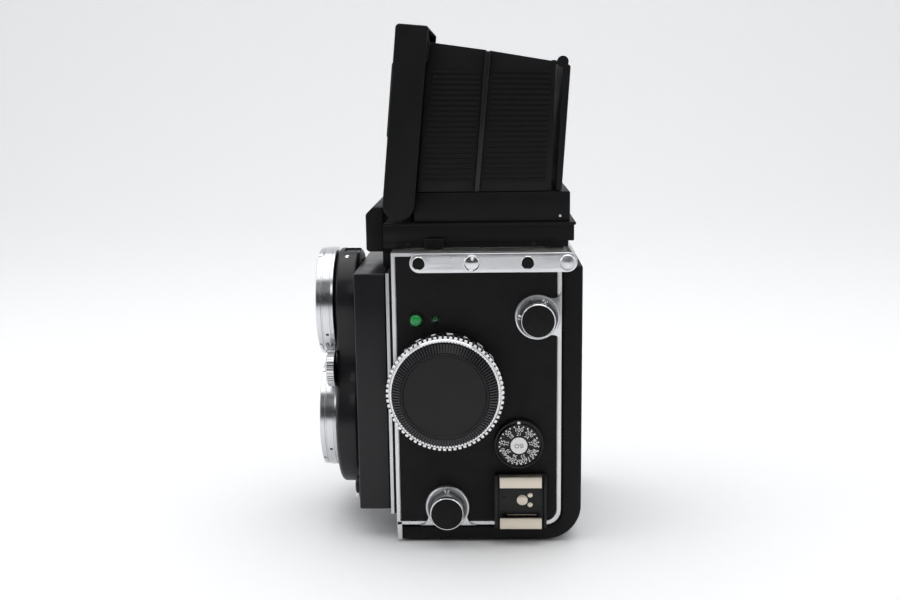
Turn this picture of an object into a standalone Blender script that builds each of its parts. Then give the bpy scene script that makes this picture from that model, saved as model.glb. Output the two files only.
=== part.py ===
"""Twin lens reflex camera for 6 x 6 roll film, with its folding hood raised.

Units are metres in Blender; every dimension below is in millimetres and goes
through MM once, where vertices are made.  +Z is up, -Y is the lens side and
+X is the side that carries the focus knob.  The origin is the middle of the
footprint, on the floor under the feet.
"""

import math

import bmesh
import bpy
from mathutils import Matrix, Vector

MM = 0.001
GAP = 0.3  # clearance between neighbouring pieces
WELD = 2e-6  # metres, closer vertices are one

# ---- overall sizes -------------------------------------------------------
SIDE_X = 40.0  # outer face of the side coverings
CASTING_X = SIDE_X - 1.1
FRONT_Y = -20.4  # front face of the body casting
BACK_Y = 53.0  # outer face of the back door
DECK_Z = 117.4  # top deck of the body
FLOOR_Z = 1.0  # underside of the door's bottom wing, above the feet

# ---- lenses --------------------------------------------------------------
VIEW_Z = 91.6
TAKE_Z = 43.0
RING_R = 22.6  # bayonet rings of both lenses
RING_FRONT = -53.0
HOUSING_FRONT = -45.5
HOUSING_BACK = -35.9
STANDARD_FRONT = -35.6
STANDARD_BACK = -23.1
LOBE_TOP_R = 22.2
LOBE_LOW_R = 29.6

# ---- side controls -------------------------------------------------------
FOCUS = (0.0, 64.2)  # y, z of the focus axis
FOCUS_R = 22.6
SPOOL_FLANGE = 11.6  # radius of the film spools' flanges
SPOOL_HALF = 31.0  # half the length of a 120 film spool
SPOOL_ROOM = SPOOL_HALF + 1.0
UPPER_SPOOL = (35.5, 92.2)
LOWER_SPOOL = (0.0, SPOOL_FLANGE + 4.0)
DOOR_PIN = (49.3, 113.9)
BUTTON = (-11.2, 91.1)
LAMP = (-3.75, 91.2)
LATCH_PIN = (-22.1, 9.6)
RELEASE = (-28.0, 20.0)  # x, z on the front standard
SYNC = (28.0, 20.0)
WHEEL = (19.8, 67.0)
ISO = (28.3, 41.4)
SHOE = (29.0, 18.2)
# A flash foot is 2.0 mm thick, so the lips stand a little clear of it.
SHOE_SLOT = 2.15
CRANK = (6.0, 84.0)

# ---- hood ----------------------------------------------------------------
HOOD_X = SIDE_X - 9.0
HOOD_BASE_TOP = 139.2
LID_HINGE = (-17.6, 135.0)
LID_LENGTH = 67.8
LID_LEAN = math.radians(5.6)
LID_FACE = LID_HINGE[0] - 6.2  # front face of the lid before it leans
WALL_FOOT = HOOD_BASE_TOP + GAP
WALL_TOP = LID_HINGE[1] + LID_LENGTH - 6.6
WALL_SLOPE = 0.0917  # how far the walls' front edge leans back per unit of height

# ---- finishes: colour, metallic, roughness
FINISHES = {
    "alloy": ((0.60, 0.60, 0.59), 1.0, 0.36),
    "leatherette": ((0.012, 0.012, 0.014), 0.0, 0.55),
    "bright_trim": ((0.78, 0.78, 0.77), 1.0, 0.30),
    "chrome": ((0.83, 0.83, 0.84), 1.0, 0.13),
    "black_paint": ((0.012, 0.012, 0.013), 0.0, 0.40),
    "black_plastic": ((0.014, 0.014, 0.015), 0.0, 0.42),
    "lens_glass": ((0.05, 0.06, 0.09), 0.0, 0.04),
    "silvered": ((0.85, 0.86, 0.88), 1.0, 0.03),
    "ground_glass": ((0.60, 0.62, 0.62), 0.0, 0.60),
    "green_acrylic": ((0.01, 0.38, 0.10), 0.0, 0.25),
    "lamp_acrylic": ((0.01, 0.05, 0.02), 0.0, 0.20),
    "gold_plate": ((0.61, 0.50, 0.32), 1.0, 0.36),
    "steel": ((0.50, 0.51, 0.52), 1.0, 0.28),
}
PIECES = {
    "alloy": ("body_casting", "focus_bed"),
    "leatherette": ("cover_left", "cover_right", "back_door"),
    "bright_trim": (
        "frame_left", "frame_right", "strap_plate_left", "strap_plate_right", "crank_base", "crank_arm",
    ),
    "chrome": (
        "focus_knob", "view_barrel", "take_barrel", "spool_base_upper", "spool_base_lower",
        "spool_knob_upper", "spool_knob_lower", "tripod_bush", "door_latch", "release_collar",
        "release_button", "aperture_wheel", "shutter_wheel",
    ),
    "black_paint": (
        "front_standard", "lens_housing", "hood_base", "hood_lid", "hood_wall_left",
        "hood_wall_right", "hood_wall_rear", "finder_flap", "pressure_plate", "sync_lever", "hood_catch",
    ),
    "black_plastic": (
        "nose_block", "battery_cap", "iso_ring", "iso_dial", "shoe_base", "button_bezel",
        "magnifier_frame", "supply_spool", "take_up_spool", "crank_handle",
    ),
    "lens_glass": ("view_glass", "take_glass", "magnifier_glass", "counter_window"),
    "silvered": ("mirror",),
    "ground_glass": ("focusing_screen",),
    "green_acrylic": ("meter_button",),
    "lamp_acrylic": ("indicator_lamp",),
    "gold_plate": ("shoe_contact", "shoe_rail_top", "shoe_rail_low"),
    "steel": ("battery", "roller_low", "roller_top"),
}


# ---------------------------------------------------------------- helpers
def finish(name, bm, bevel=0.0, angle=40.0, segments=1):
    """Turn a bmesh into a named object, with an optional edge bevel."""
    bmesh.ops.remove_doubles(bm, verts=bm.verts, dist=WELD)
    bmesh.ops.recalc_face_normals(bm, faces=bm.faces)
    mesh = bpy.data.meshes.new(name)
    bm.to_mesh(mesh)
    bm.free()
    mesh.shade_smooth()
    mesh.set_sharp_from_angle(angle=math.radians(30))
    obj = bpy.data.objects.new(name, mesh)
    bpy.context.scene.collection.objects.link(obj)
    if bevel:
        mod = obj.modifiers.new("edges", "BEVEL")
        mod.width = bevel * MM
        mod.segments = segments
        mod.limit_method = "ANGLE"
        mod.angle_limit = math.radians(angle)
    return obj


def place(axis, u, v, along):
    """A point from in-plane coordinates and a distance along the axis."""
    if axis == "x":
        return Vector((along, u, v)) * MM
    if axis == "y":
        return Vector((u, along, v)) * MM
    return Vector((u, v, along)) * MM


def prism(name, outline, axis, low, high, bevel=0.0, angle=40.0):
    """Extrude a closed outline along an axis.

    The outline is (y, z) for axis x, (x, z) for axis y and (x, y) for axis z.
    """
    bm = bmesh.new()
    base = bm.faces.new([bm.verts.new(place(axis, u, v, low)) for u, v in outline])
    grown = bmesh.ops.extrude_face_region(bm, geom=[base])["geom"]
    far_end = [part for part in grown if isinstance(part, bmesh.types.BMVert)]
    bmesh.ops.translate(bm, verts=far_end, vec=place(axis, 0.0, 0.0, high - low))
    return finish(name, bm, bevel, angle)


def box(name, x, y, z, bevel=0.0):
    """An axis-aligned block from three (low, high) pairs."""
    outline = [(y[0], z[0]), (y[1], z[0]), (y[1], z[1]), (y[0], z[1])]
    return prism(name, outline, "x", x[0], x[1], bevel)


def lathe(name, profile, centre, axis, segments=32):
    """Spin a profile of (radius, along) points about an axis through centre."""
    bm = bmesh.new()
    line = [bm.verts.new(place(axis, centre[0] + radius, centre[1], along)) for radius, along in profile]
    edges = [bm.edges.new(pair) for pair in zip(line, line[1:])]
    if all(radius > 0 for radius, _ in profile):
        edges.append(bm.edges.new((line[-1], line[0])))
    bmesh.ops.spin(
        bm,
        geom=line + edges,
        cent=place(axis, centre[0], centre[1], 0.0),
        axis=place(axis, 0.0, 0.0, 1.0).normalized(),
        angle=math.tau,
        steps=segments,
        use_merge=True,
    )
    return finish(name, bm)


def disc(name, centre, axis, radius, low, high, segments=32):
    """A plain cylinder."""
    profile = [(0, low), (radius, low), (radius, high), (0, high)]
    return lathe(name, profile, centre, axis, segments)


def tube(name, centre, axis, outer, inner, low, high, segments=32):
    """A plain ring."""
    profile = [(inner, low), (outer, low), (outer, high), (inner, high)]
    return lathe(name, profile, centre, axis, segments)


def circle(centre, radius, count, start=0.0, stop=360.0, closed=True):
    """Points on an arc; a closed circle leaves out its last point."""
    steps = count if closed else count - 1
    return [
        (
            centre[0] + radius * math.cos(math.radians(start + (stop - start) * k / steps)),
            centre[1] + radius * math.sin(math.radians(start + (stop - start) * k / steps)),
        )
        for k in range(count)
    ]


def toothed(centre, outer, inner, teeth):
    """A ring outline with flat-topped teeth."""
    points = []
    for k in range(teeth):
        for share, radius in ((0.0, outer), (0.45, outer), (0.5, inner), (0.95, inner)):
            turn = 2 * math.pi * (k + share) / teeth
            points.append(
                (centre[0] + radius * math.cos(turn), centre[1] + radius * math.sin(turn))
            )
    return points


def rounded(y, z, radius, steps=4):
    """A rectangle outline with four rounded corners."""
    corners = (
        (y[1] - radius, z[0] + radius, -90),
        (y[1] - radius, z[1] - radius, 0),
        (y[0] + radius, z[1] - radius, 90),
        (y[0] + radius, z[0] + radius, 180),
    )
    points = []
    for cy, cz, start in corners:
        points += circle((cy, cz), radius, steps + 1, start, start + 90, closed=False)
    return points


def combine(obj, other, operation):
    """Add or remove another object's volume; the other one becomes a helper."""
    mod = obj.modifiers.new(other.name, "BOOLEAN")
    mod.operation = operation
    mod.solver = "EXACT"
    mod.object = other
    other.hide_render = True
    other.display_type = "WIRE"


def cut(obj, *others):
    for other in others:
        combine(obj, other, "DIFFERENCE")


def join(obj, *others):
    for other in others:
        combine(obj, other, "UNION")


def turn_x(obj, centre, angle):
    """Turn an object's vertices about an axis along X through (y, z)."""
    point = Vector((0, centre[0], centre[1])) * MM
    matrix = (
        Matrix.Translation(point)
        @ Matrix.Rotation(angle, 4, "X")
        @ Matrix.Translation(-point)
    )
    obj.data.transform(matrix)
    return obj


# ------------------------------------------------------------------- body
def make_body():
    """The casting with its dark chamber, mirror box and spool chambers."""
    outline = (
        [(FRONT_Y, 7.0)]
        + circle((39.0, 13.0), 6.0, 6, -90, 0, closed=False)
        + [(45.0, 112.9), (46.2, 112.9), (46.2, DECK_Z), (FRONT_Y, DECK_Z)]
    )
    body = prism("body_casting", outline, "x", -CASTING_X, CASTING_X)
    mirror_room = [(-17.0, 70.0), (-12.0, 70.0), (28.0, 111.0), (41.0, 111.0), (41.0, 119.0), (-17.0, 119.0)]
    mirror_box = prism("c_mirror_box", mirror_room, "x", -HOOD_X + 2.0, HOOD_X - 2.0)
    chamber = box("c_chamber", (-24.0, 24.0), (-22.0, 24.0), (20.5, 66.0))
    low_y, low_z = LOWER_SPOOL[0] - 0.5, LOWER_SPOOL[1] + 1.0
    side = SPOOL_FLANGE + 3.4
    roof = circle((low_y, low_z), SPOOL_FLANGE + 2.0, 9, 165, 15, closed=False)
    lower_room = [(low_y - side, 5.0), (low_y - side, low_z + 2.4)] + roof + [(low_y + side - 1.0, 5.0)]
    lower_spool = prism("c_lower_spool", lower_room, "x", -SPOOL_ROOM, SPOOL_ROOM)
    gate = box("c_gate", (-28.0, 28.0), (23.0, 46.0), (33.0, 73.0))
    reach = SPOOL_FLANGE + 1.0
    upper_y, upper_z = UPPER_SPOOL[0] - 1.0, UPPER_SPOOL[1]
    upper_room = circle((upper_y, upper_z), reach, 10, 90, 270, closed=False)
    upper_room += [(46.5, upper_z - reach), (46.5, upper_z + reach)]
    take_up = prism("c_take_up", upper_room, "x", -SPOOL_ROOM, SPOOL_ROOM)
    view_port = disc("c_view_port", (0, VIEW_Z), "y", 17.0, -21.0, -16.0, 28)
    take_port = disc("c_take_port", (0, TAKE_Z), "y", 19.5, -21.0, -16.0, 28)
    cut(body, mirror_box, lower_spool, gate, chamber, take_up, view_port, take_port)
    cut(body, disc("c_battery", FOCUS, "x", 9.6, SIDE_X - 14.8, SIDE_X, 28))
    for name, hub in (("c_up_shaft", UPPER_SPOOL), ("c_low_shaft", LOWER_SPOOL)):
        cut(body, disc(name, hub, "x", 2.4, SPOOL_HALF, SIDE_X, 16))
    cut(body, disc("c_button", BUTTON, "x", 2.5, SIDE_X - 4.0, SIDE_X, 16))
    cut(body, box("c_roller_low", (-SPOOL_ROOM, SPOOL_ROOM), (38.4, 47.0), (6.0, 33.5)))
    cut(body, box("c_roller_top", (-SPOOL_ROOM, SPOOL_ROOM), (39.4, 47.0), (72.5, 80.5)))
    for side, low, high in (("a", 14.4, 36.0), ("b", -36.0, -14.4)):
        join(body, disc(f"k_body_{side}", DOOR_PIN, "x", 1.9, low, high, 16))
        join(body, box(f"k_tab_{side}", (low, high), (45.6, DOOR_PIN[0]), (113.2, 114.9)))
    pin_y, pin_z = LATCH_PIN
    for side, low, high in (("a", 9.5, 12.0), ("b", -12.0, -9.5)):
        join(body, box(f"k_ear_{side}", (low, high), (pin_y - 1.3, FRONT_Y + 0.4), (pin_z - 1.4, pin_z + 1.4)))
    return body


def panel_outline(inset):
    """The side panel's outline, set in from the silver frame's outer edge."""
    return (
        [(FRONT_Y + inset, 7.6 + inset)]
        + circle((38.3, 14.1), 6.5 - inset, 6, -90, 0, closed=False)
        + [(44.8 - inset, 117.2 - inset), (FRONT_Y + inset, 117.2 - inset)]
    )


def make_sides():
    """Leatherette coverings, bright frames and strap plates on both sides."""
    for name, sign in (("left", 1), ("right", -1)):
        low, high = sorted((sign * (CASTING_X + GAP), sign * SIDE_X))
        cover = prism(f"cover_{name}", panel_outline(1.6), "x", low, high)
        frame_low, frame_high = sorted((sign * (CASTING_X + GAP), sign * (SIDE_X + 0.3)))
        frame = prism(f"frame_{name}", panel_outline(0.0), "x", frame_low, frame_high)
        hole_low, hole_high = sorted((sign * (SIDE_X - 2.0), sign * (SIDE_X + 2.0)))
        cut(frame, prism(f"c_frame_{name}", panel_outline(1.3), "x", hole_low, hole_high))
        if name == "left":
            holes = (("focus", FOCUS, 9.6), ("up", UPPER_SPOOL, 2.4), ("low", LOWER_SPOOL, 2.4), ("button", BUTTON, 2.5))
            for tag, hub, radius in holes:
                cut(cover, disc(f"c_cover_{tag}", hub, "x", radius, hole_low, hole_high, 24))
        plate_y, plate_z = (-13.2, 50.6), (109.7, 117.3)
        low, high = sorted((sign * (SIDE_X + 0.6), sign * (SIDE_X + 2.6)))
        plate = prism(f"strap_plate_{name}", rounded(plate_y, plate_z, 3.75, 5), "x", low, high)
        for k, (y, radius, rise) in enumerate(
            ((-9.7, 2.6, 0.5), (10.6, 3.3, 1.2), (31.8, 2.7, 0.5), (46.9, 3.1, 1.4))
        ):
            stud_low, stud_high = sorted((sign * (SIDE_X + 1.6), sign * (SIDE_X + 2.6 + rise)))
            join(plate, disc(f"s_{name}_{k}", (y, 113.5), "x", radius, stud_low, stud_high, 20))


def make_nose():
    """The black name-plate block under the front of the hood."""
    back = FRONT_Y - GAP
    outline = [(-31.3, 116.4), (-30.7, 115.8), (back, 115.8), (back, 117.2), (-24.3, 117.2)]
    outline += [(-24.3, 133.4), (-28.6, 133.4), (-31.3, 130.6)]
    nose = prism("nose_block", outline, "x", -HOOD_X + 5.0, HOOD_X - 5.0)
    foot = box("n_foot", (-HOOD_X + 5.0, HOOD_X - 5.0), (-24.9, back), (109.6, 116.4))
    join(nose, foot)


# ------------------------------------------------------------------- door
def make_door():
    """The L-shaped back door with its bottom wing and feet, and the latch."""
    half = SIDE_X - 0.4
    room = SIDE_X - 3.5
    corner = 14.0
    outline = (
        [(FRONT_Y, FLOOR_Z)]
        + circle((BACK_Y - corner, FLOOR_Z + corner), corner, 8, -90, 0, closed=False)
        + [(BACK_Y, 111.7), (45.4, 111.7)]
        + circle((39.0, 13.1), 6.4, 6, 0, -90, closed=False)
        + [(FRONT_Y, 6.7)]
    )
    door = prism("back_door", outline, "x", -half, half)
    cut(door, box("c_door_back", (-room, room), (40.0, 51.0), (16.0, 108.0)))
    cut(door, box("c_door_floor", (-room, room), (-17.0, 36.0), (3.4, 8.0)))
    join(door, box("k_door_tab", (-14.0, 14.0), (47.6, 51.0), (110.5, DOOR_PIN[1])))
    join(door, disc("k_door", DOOR_PIN, "x", 1.9, -14.0, 14.0, 16))
    foot_profile = [(0, 0), (3.6, 0), (4.3, 0.7), (4.3, 1.6), (0, 1.6)]
    for k, (x, y) in enumerate(((31.0, -8.0), (31.0, 37.6), (-31.0, -8.0), (-31.0, 37.6))):
        join(door, lathe(f"foot_{k}", foot_profile, (x, y), "z", 20))
    cut(door, disc("c_bush", (0, 14.0), "z", 5.3, -1.0, 5.0, 24))
    bush = [(3.2, 1.3), (4.9, 1.3), (4.9, 3.7), (6.4, 3.7), (6.4, 5.6), (3.2, 5.6)]
    lathe("tripod_bush", bush, (0, 14.0), "z", 24)
    lever = circle(LATCH_PIN, 1.3, 9, -40, 220, closed=False)
    lever += [(lever[-1][0], 2.4), (lever[-1][0] + 0.7, 1.6), (lever[0][0], 1.6)]
    prism("door_latch", lever, "x", -9.2, 9.2)
    plate = box("pressure_plate", (-32.0, 32.0), (46.6, 48.6), (31.0, 75.0), bevel=0.5)
    join(plate, box("p_spring", (-5.0, 5.0), (48.0, 50.7), (49.0, 57.0)))


# ----------------------------------------------------------- film transport
def make_transport():
    """Film spools and rollers."""
    end, inner = SPOOL_HALF, SPOOL_HALF - 0.8
    profile = [(2.6, -end), (SPOOL_FLANGE, -end), (SPOOL_FLANGE, -inner), (6.0, -inner)]
    profile += [(6.0, inner), (SPOOL_FLANGE, inner), (SPOOL_FLANGE, end), (2.6, end)]
    lathe("supply_spool", profile, (LOWER_SPOOL[0] - 0.3, LOWER_SPOOL[1] + 0.6), "x", 24)
    lathe("take_up_spool", profile, (UPPER_SPOOL[0] - 1.0, UPPER_SPOOL[1]), "x", 24)
    for name, hub in (("roller_low", (41.2, 14.0)), ("roller_top", (42.3, 77.0))):
        disc(name, hub, "x", 2.4, -SPOOL_HALF, SPOOL_HALF, 16)


def make_spool_knobs():
    """Round bases and pull-out caps on the focus side."""
    seat, face, cap_low, end = SIDE_X + 0.6, SIDE_X + 3.4, SIDE_X + 3.8, SIDE_X + 9.9
    base_profile = [(2.4, seat), (8.7, seat), (8.7, face - 0.8), (8.0, face), (2.4, face)]
    cap_profile = [(0, SPOOL_HALF + 2.0), (2.1, SPOOL_HALF + 2.0), (2.1, cap_low), (6.6, cap_low)]
    cap_profile += [(6.6, end - 0.5), (6.2, end), (5.4, end), (5.4, end - GAP), (0, end - GAP)]
    for tag, hub in (("upper", UPPER_SPOOL), ("lower", LOWER_SPOOL)):
        lathe(f"spool_base_{tag}", base_profile, hub, "x", 28)
        lathe(f"spool_knob_{tag}", cap_profile, hub, "x", 28)


# ------------------------------------------------------------ side controls
def make_focus():
    """Focus knob with its battery sleeve, battery and screw cap."""
    bore, sleeve = 7.2, 9.2
    knob = prism("focus_knob", toothed(FOCUS, FOCUS_R, FOCUS_R - 0.7, 48), "x", SIDE_X + 6.0, SIDE_X + 11.4)
    skirt = [(8.9, SIDE_X + 0.7), (FOCUS_R - 3.4, SIDE_X + 0.7), (FOCUS_R - 3.4, SIDE_X + 4.4)]
    skirt += [(FOCUS_R - 1.2, SIDE_X + 5.2), (FOCUS_R - 1.2, SIDE_X + 6.4), (8.9, SIDE_X + 6.4)]
    join(knob, lathe("f_skirt", skirt, FOCUS, "x", 48))
    join(knob, tube("f_sleeve", FOCUS, "x", sleeve, bore, SIDE_X - 14.0, SIDE_X + 8.0, 28))
    cut(knob, disc("c_knob_bore", FOCUS, "x", bore, SIDE_X - 15.0, SIDE_X + 13.0, 28))
    disc("battery", FOCUS, "x", bore - 0.6, SIDE_X - 13.4, SIDE_X + 11.5, 24)
    cap_r = FOCUS_R - 2.2
    cap = prism("battery_cap", toothed(FOCUS, cap_r, cap_r - 0.5, 48), "x", SIDE_X + 11.8, SIDE_X + 14.0)
    rim, step, face, dish = cap_r - 1.0, cap_r - 4.0, SIDE_X + 14.5, SIDE_X + 13.6
    top = [(0, SIDE_X + 12.4), (rim, SIDE_X + 12.4), (rim, face), (step, face), (step - 0.5, dish), (0, dish)]
    join(cap, lathe("f_rim", top, FOCUS, "x", 48))
    cut(cap, disc("c_cap_face", FOCUS, "x", step - 0.5, dish, SIDE_X + 15.0, 48))


def make_iso():
    """Film-speed dial in its fixed ring."""
    foot, floor, face = SIDE_X + 0.4, SIDE_X + 1.2, SIDE_X + 3.4
    ring = [(0, foot), (9.9, foot), (9.9, face - 1.2), (9.5, face - 0.6), (8.9, face - 0.6), (8.9, floor), (0, floor)]
    lathe("iso_ring", ring, ISO, "x", 36)
    dial = [(0, floor + GAP), (8.5, floor + GAP), (8.5, face - 0.4), (8.1, face), (3.6, face)]
    dial += [(3.2, face + 0.4), (0, face + 0.4)]
    lathe("iso_dial", dial, ISO, "x", 36)


def make_shoe():
    """Flash shoe: black base, two bright rails and the centre contact."""
    y0, y1 = SHOE[0] - 10.4, SHOE[0] + 10.2
    z0, z1 = SHOE[1] - 10.9, SHOE[1] + 10.9
    floor = SIDE_X + 2.0
    contact = (SHOE[0] + 0.6, SHOE[1] + 0.3)
    base = box("shoe_base", (SIDE_X + 0.4, floor), (y0, y1), (z0, z1))
    cut(base, disc("c_contact", contact, "x", 2.6, floor - 1.0, floor + 1.0, 20))
    disc("shoe_contact", contact, "x", 2.2, floor - 0.7, floor - 0.1, 20)
    for name, side in (("shoe_rail_top", 1), ("shoe_rail_low", -1)):
        edge, inner, lip = (SHOE[1] + side * off for off in (10.7, 9.2, 6.2))
        under, top = floor + SHOE_SLOT, floor + SHOE_SLOT + 0.9
        outline = [(floor + GAP, edge), (top, edge), (top, lip)]
        outline += [(under, lip), (under, inner), (floor + GAP, inner)]
        prism(name, outline, "y", y0 + 1.6, y1 - 1.2)


def make_small_controls():
    """Meter button with its bezel and the indicator lamp."""
    face = SIDE_X + GAP
    tube("button_bezel", BUTTON, "x", 2.95, 2.45, face, SIDE_X + 1.2, 20)
    button = [(0, SIDE_X - 3.4), (2.15, SIDE_X - 3.4), (2.15, SIDE_X + 1.9), (1.7, SIDE_X + 2.4), (0, SIDE_X + 2.4)]
    lathe("meter_button", button, BUTTON, "x", 20)
    lathe("indicator_lamp", [(0, face), (1.35, face), (1.0, SIDE_X + 1.0), (0, SIDE_X + 1.2)], LAMP, "x", 16)


def make_crank():
    """Film crank on the far side: fixed base, arm and folding handle."""
    seat, face = -SIDE_X - 0.4, -SIDE_X - 3.6
    lathe("crank_base", [(0, seat), (13.0, seat), (13.0, face + 0.6), (12.4, face), (0, face)], CRANK, "x", 36)
    arm_back, arm_face = -SIDE_X - 4.3, -SIDE_X - 6.6
    arm = disc("crank_arm", CRANK, "x", 9.0, arm_face, arm_back, 32)
    end = (CRANK[0], CRANK[1] - 27.0)
    blade = [(CRANK[0] + 5.0, CRANK[1]), (CRANK[0] - 5.0, CRANK[1])] + circle(end, 3.6, 7, 180, 360, closed=False)
    join(arm, prism("a_blade", blade, "x", arm_face, arm_back))
    grip = [(0, arm_face - GAP), (3.4, arm_face - GAP), (3.9, arm_face - 2.4), (4.3, arm_face - 7.0)]
    grip += [(3.6, arm_face - 7.9), (0, arm_face - 7.9)]
    lathe("crank_handle", grip, end, "x", 24)
    window = [(0, -SIDE_X - GAP), (3.4, -SIDE_X - GAP), (3.4, -SIDE_X - 1.0), (2.6, -SIDE_X - 1.6), (0, -SIDE_X - 1.6)]
    lathe("counter_window", window, (-11.5, 101.0), "x", 20)


# ------------------------------------------------------------- front group
def make_front():
    """Focusing bed, sliding standard, housing, two lenses and their rings."""
    bed_back = FRONT_Y - GAP
    tube_half, wall = SIDE_X - 7.0, 1.4
    bed = box("focus_bed", (-CASTING_X, CASTING_X), (-22.8, bed_back), (11.6, 109.2))
    join(bed, box("b_tube", (-tube_half, tube_half), (-33.4, -22.0), (16.0, 105.4)))
    cut(bed, box("c_bed", (-tube_half + wall, tube_half - wall), (-34.0, -20.0), (17.4, 104.0)))
    half = SIDE_X - 3.6
    standard = box("front_standard", (-half, half), (STANDARD_FRONT, STANDARD_BACK), (12.5, 108.7), bevel=0.8)
    cut(standard, box("c_standard", (-half + 3.0, half - 3.0), (-33.8, -20.0), (15.6, 105.8)))
    cut(standard, disc("c_std_view", (0, VIEW_Z), "y", 12.5, -37.0, -33.0, 28))
    cut(standard, disc("c_std_take", (0, TAKE_Z), "y", 16.5, -37.0, -33.0, 28))
    housing = prism("lens_housing", figure_eight(), "y", HOUSING_BACK, HOUSING_FRONT)
    seat, neck = HOUSING_FRONT - GAP, 16.9
    barrel = [(11.8, HOUSING_BACK - GAP), (neck, HOUSING_BACK - GAP), (neck, seat), (RING_R - 0.8, seat)]
    barrel += [(RING_R, seat - 0.6), (RING_R, seat - 4.6), (RING_R - 0.7, seat - 5.0), (RING_R - 0.7, RING_FRONT)]
    barrel += [(RING_R - 2.2, RING_FRONT), (RING_R - 3.2, -48.4), (14.6, -45.4), (11.8, -45.4)]
    glass = [(0, -38.6), (11.4, -38.6), (11.4, -43.4), (8.0, -44.8), (0, -45.4)]
    for tag, z in (("view", VIEW_Z), ("take", TAKE_Z)):
        cut(housing, disc(f"c_hou_{tag}", (0, z), "y", neck + 0.4, -46.0, -35.0, 32))
        lathe(f"{tag}_barrel", barrel, (0, z), "y", 36)
        lathe(f"{tag}_glass", glass, (0, z), "y", 32)
    for name, x in (("aperture_wheel", WHEEL[0]), ("shutter_wheel", -WHEEL[0])):
        prism(name, toothed((x, WHEEL[1]), 7.5, 7.0, 24), "y", seat - 3.5, seat)
    face = STANDARD_FRONT - GAP
    collar = disc("release_collar", RELEASE, "y", 5.6, face - 4.0, face, 24)
    cut(collar, disc("c_release", RELEASE, "y", 3.3, face - 5.0, face - 1.0, 20))
    disc("release_button", RELEASE, "y", 2.9, face - 6.1, face - 2.7, 20)
    lever = disc("sync_lever", SYNC, "y", 3.6, face - 2.0, face, 20)
    join(lever, box("l_arm", (SYNC[0] - 1.2, SYNC[0] + 1.2), (face - 2.3, face - 0.4), (SYNC[1] - 5.4, SYNC[1])))


def figure_eight():
    """Outline of the lens housing: two lobes joined by a soft waist."""
    top = circle((0, VIEW_Z), LOBE_TOP_R, 15, -20, 200, closed=False)
    low = circle((0, TAKE_Z), LOBE_LOW_R, 17, 148, 392, closed=False)
    waist_left = [(-20.6, 76.0), (-20.3, 70.0), (-21.2, 64.0)]
    waist_right = [(21.2, 64.0), (20.3, 70.0), (20.6, 76.0)]
    return top + waist_left + low + waist_right


# -------------------------------------------------------------------- hood
def make_hood():
    """Hood base with its well, the focusing screen, the mirror and the catch."""
    step = 127.5
    outline = [(-24.0, 117.7), (48.0, 117.7), (48.0, 120.4), (50.2, 120.4), (50.2, 126.4), (50.9, 126.4)]
    outline += [(50.9, step), (48.7, step), (48.7, HOOD_BASE_TOP), (-12.0, HOOD_BASE_TOP), (-12.0, step), (-24.0, step)]
    base = prism("hood_base", outline, "x", -HOOD_X, HOOD_X)
    well = HOOD_X - 2.8
    cut(base, box("c_hood_base", (-well, well), (-17.0, 44.0), (110.0, 150.0)))
    cut(base, box("c_hood_edge_a", (HOOD_X - 1.6, HOOD_X + 4.0), (-12.0, 60.0), (step, 150.0)))
    cut(base, box("c_hood_edge_b", (-HOOD_X - 4.0, -HOOD_X + 1.6), (-12.0, 60.0), (step, 150.0)))
    box("focusing_screen", (-well + GAP, well - GAP), (-16.6, 39.6), (113.2, 115.6))
    slope = [(-13.2, 71.5), (-11.9, 70.9), (26.6, 110.4), (25.4, 111.4)]
    prism("mirror", slope, "x", -HOOD_X + 2.4, HOOD_X - 2.4)
    box("hood_catch", (HOOD_X + GAP, HOOD_X + 2.4), (-7.9, -0.3), (117.9, 121.6), bevel=0.3)


def make_lid():
    """The front lid: a shallow tray that leans back, with a swing-in flap."""
    y, z = LID_HINGE
    top = z + LID_LENGTH
    front = LID_FACE
    half = HOOD_X + 2.4
    outline = circle((y, z), 6.2, 9, 180, 360, closed=False) + [(y + 6.2, top), (front + 1.0, top), (front, top - 1.2)]
    lid = prism("hood_lid", outline, "x", -half, half)
    cut(lid, box("c_lid_tray", (-half + 2.0, half - 2.0), (front + 1.6, y + 8.0), (z - 8.0, top - 1.1)))
    cut(lid, box("c_lid_flap", (-17.0, 17.0), (front - 1.0, front + 4.0), (z + 24.0, z + 54.0)))
    flap = box("finder_flap", (-16.6, 16.6), (front - 1.8, front + 1.4), (z + 24.4, z + 53.6), bevel=0.3)
    join(flap, disc("l_flap_pin", (front + 1.4, z + 52.6), "x", 0.9, -16.6, 16.6, 12))
    frame = tube("magnifier_frame", (0, z + 38.0), "y", 14.0, 11.2, front + 2.7, front + 5.2, 28)
    join(frame, box("m_arm", (-3.0, 3.0), (front + 3.0, front + 4.7), (z + 50.0, z + 55.5)))
    join(frame, disc("m_pin", (front + 4.0, z + 55.6), "x", 1.3, -8.0, 8.0, 12))
    bulge = [(0, front + 2.9), (10.9, front + 3.4), (10.9, front + 4.6), (0, front + 5.6)]
    lathe("magnifier_glass", bulge, (0, z + 38.0), "y", 24)
    lid_parts = ("hood_lid", "finder_flap", "magnifier", "c_lid", "l_flap", "m_arm", "m_pin")
    for obj in bpy.data.objects:
        if obj.name.startswith(lid_parts):
            turn_x(obj, LID_HINGE, -LID_LEAN)


def lean_of_wall(z):
    """How far the hood's front edge has leaned back at a height."""
    return (z - WALL_FOOT) * WALL_SLOPE


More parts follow.
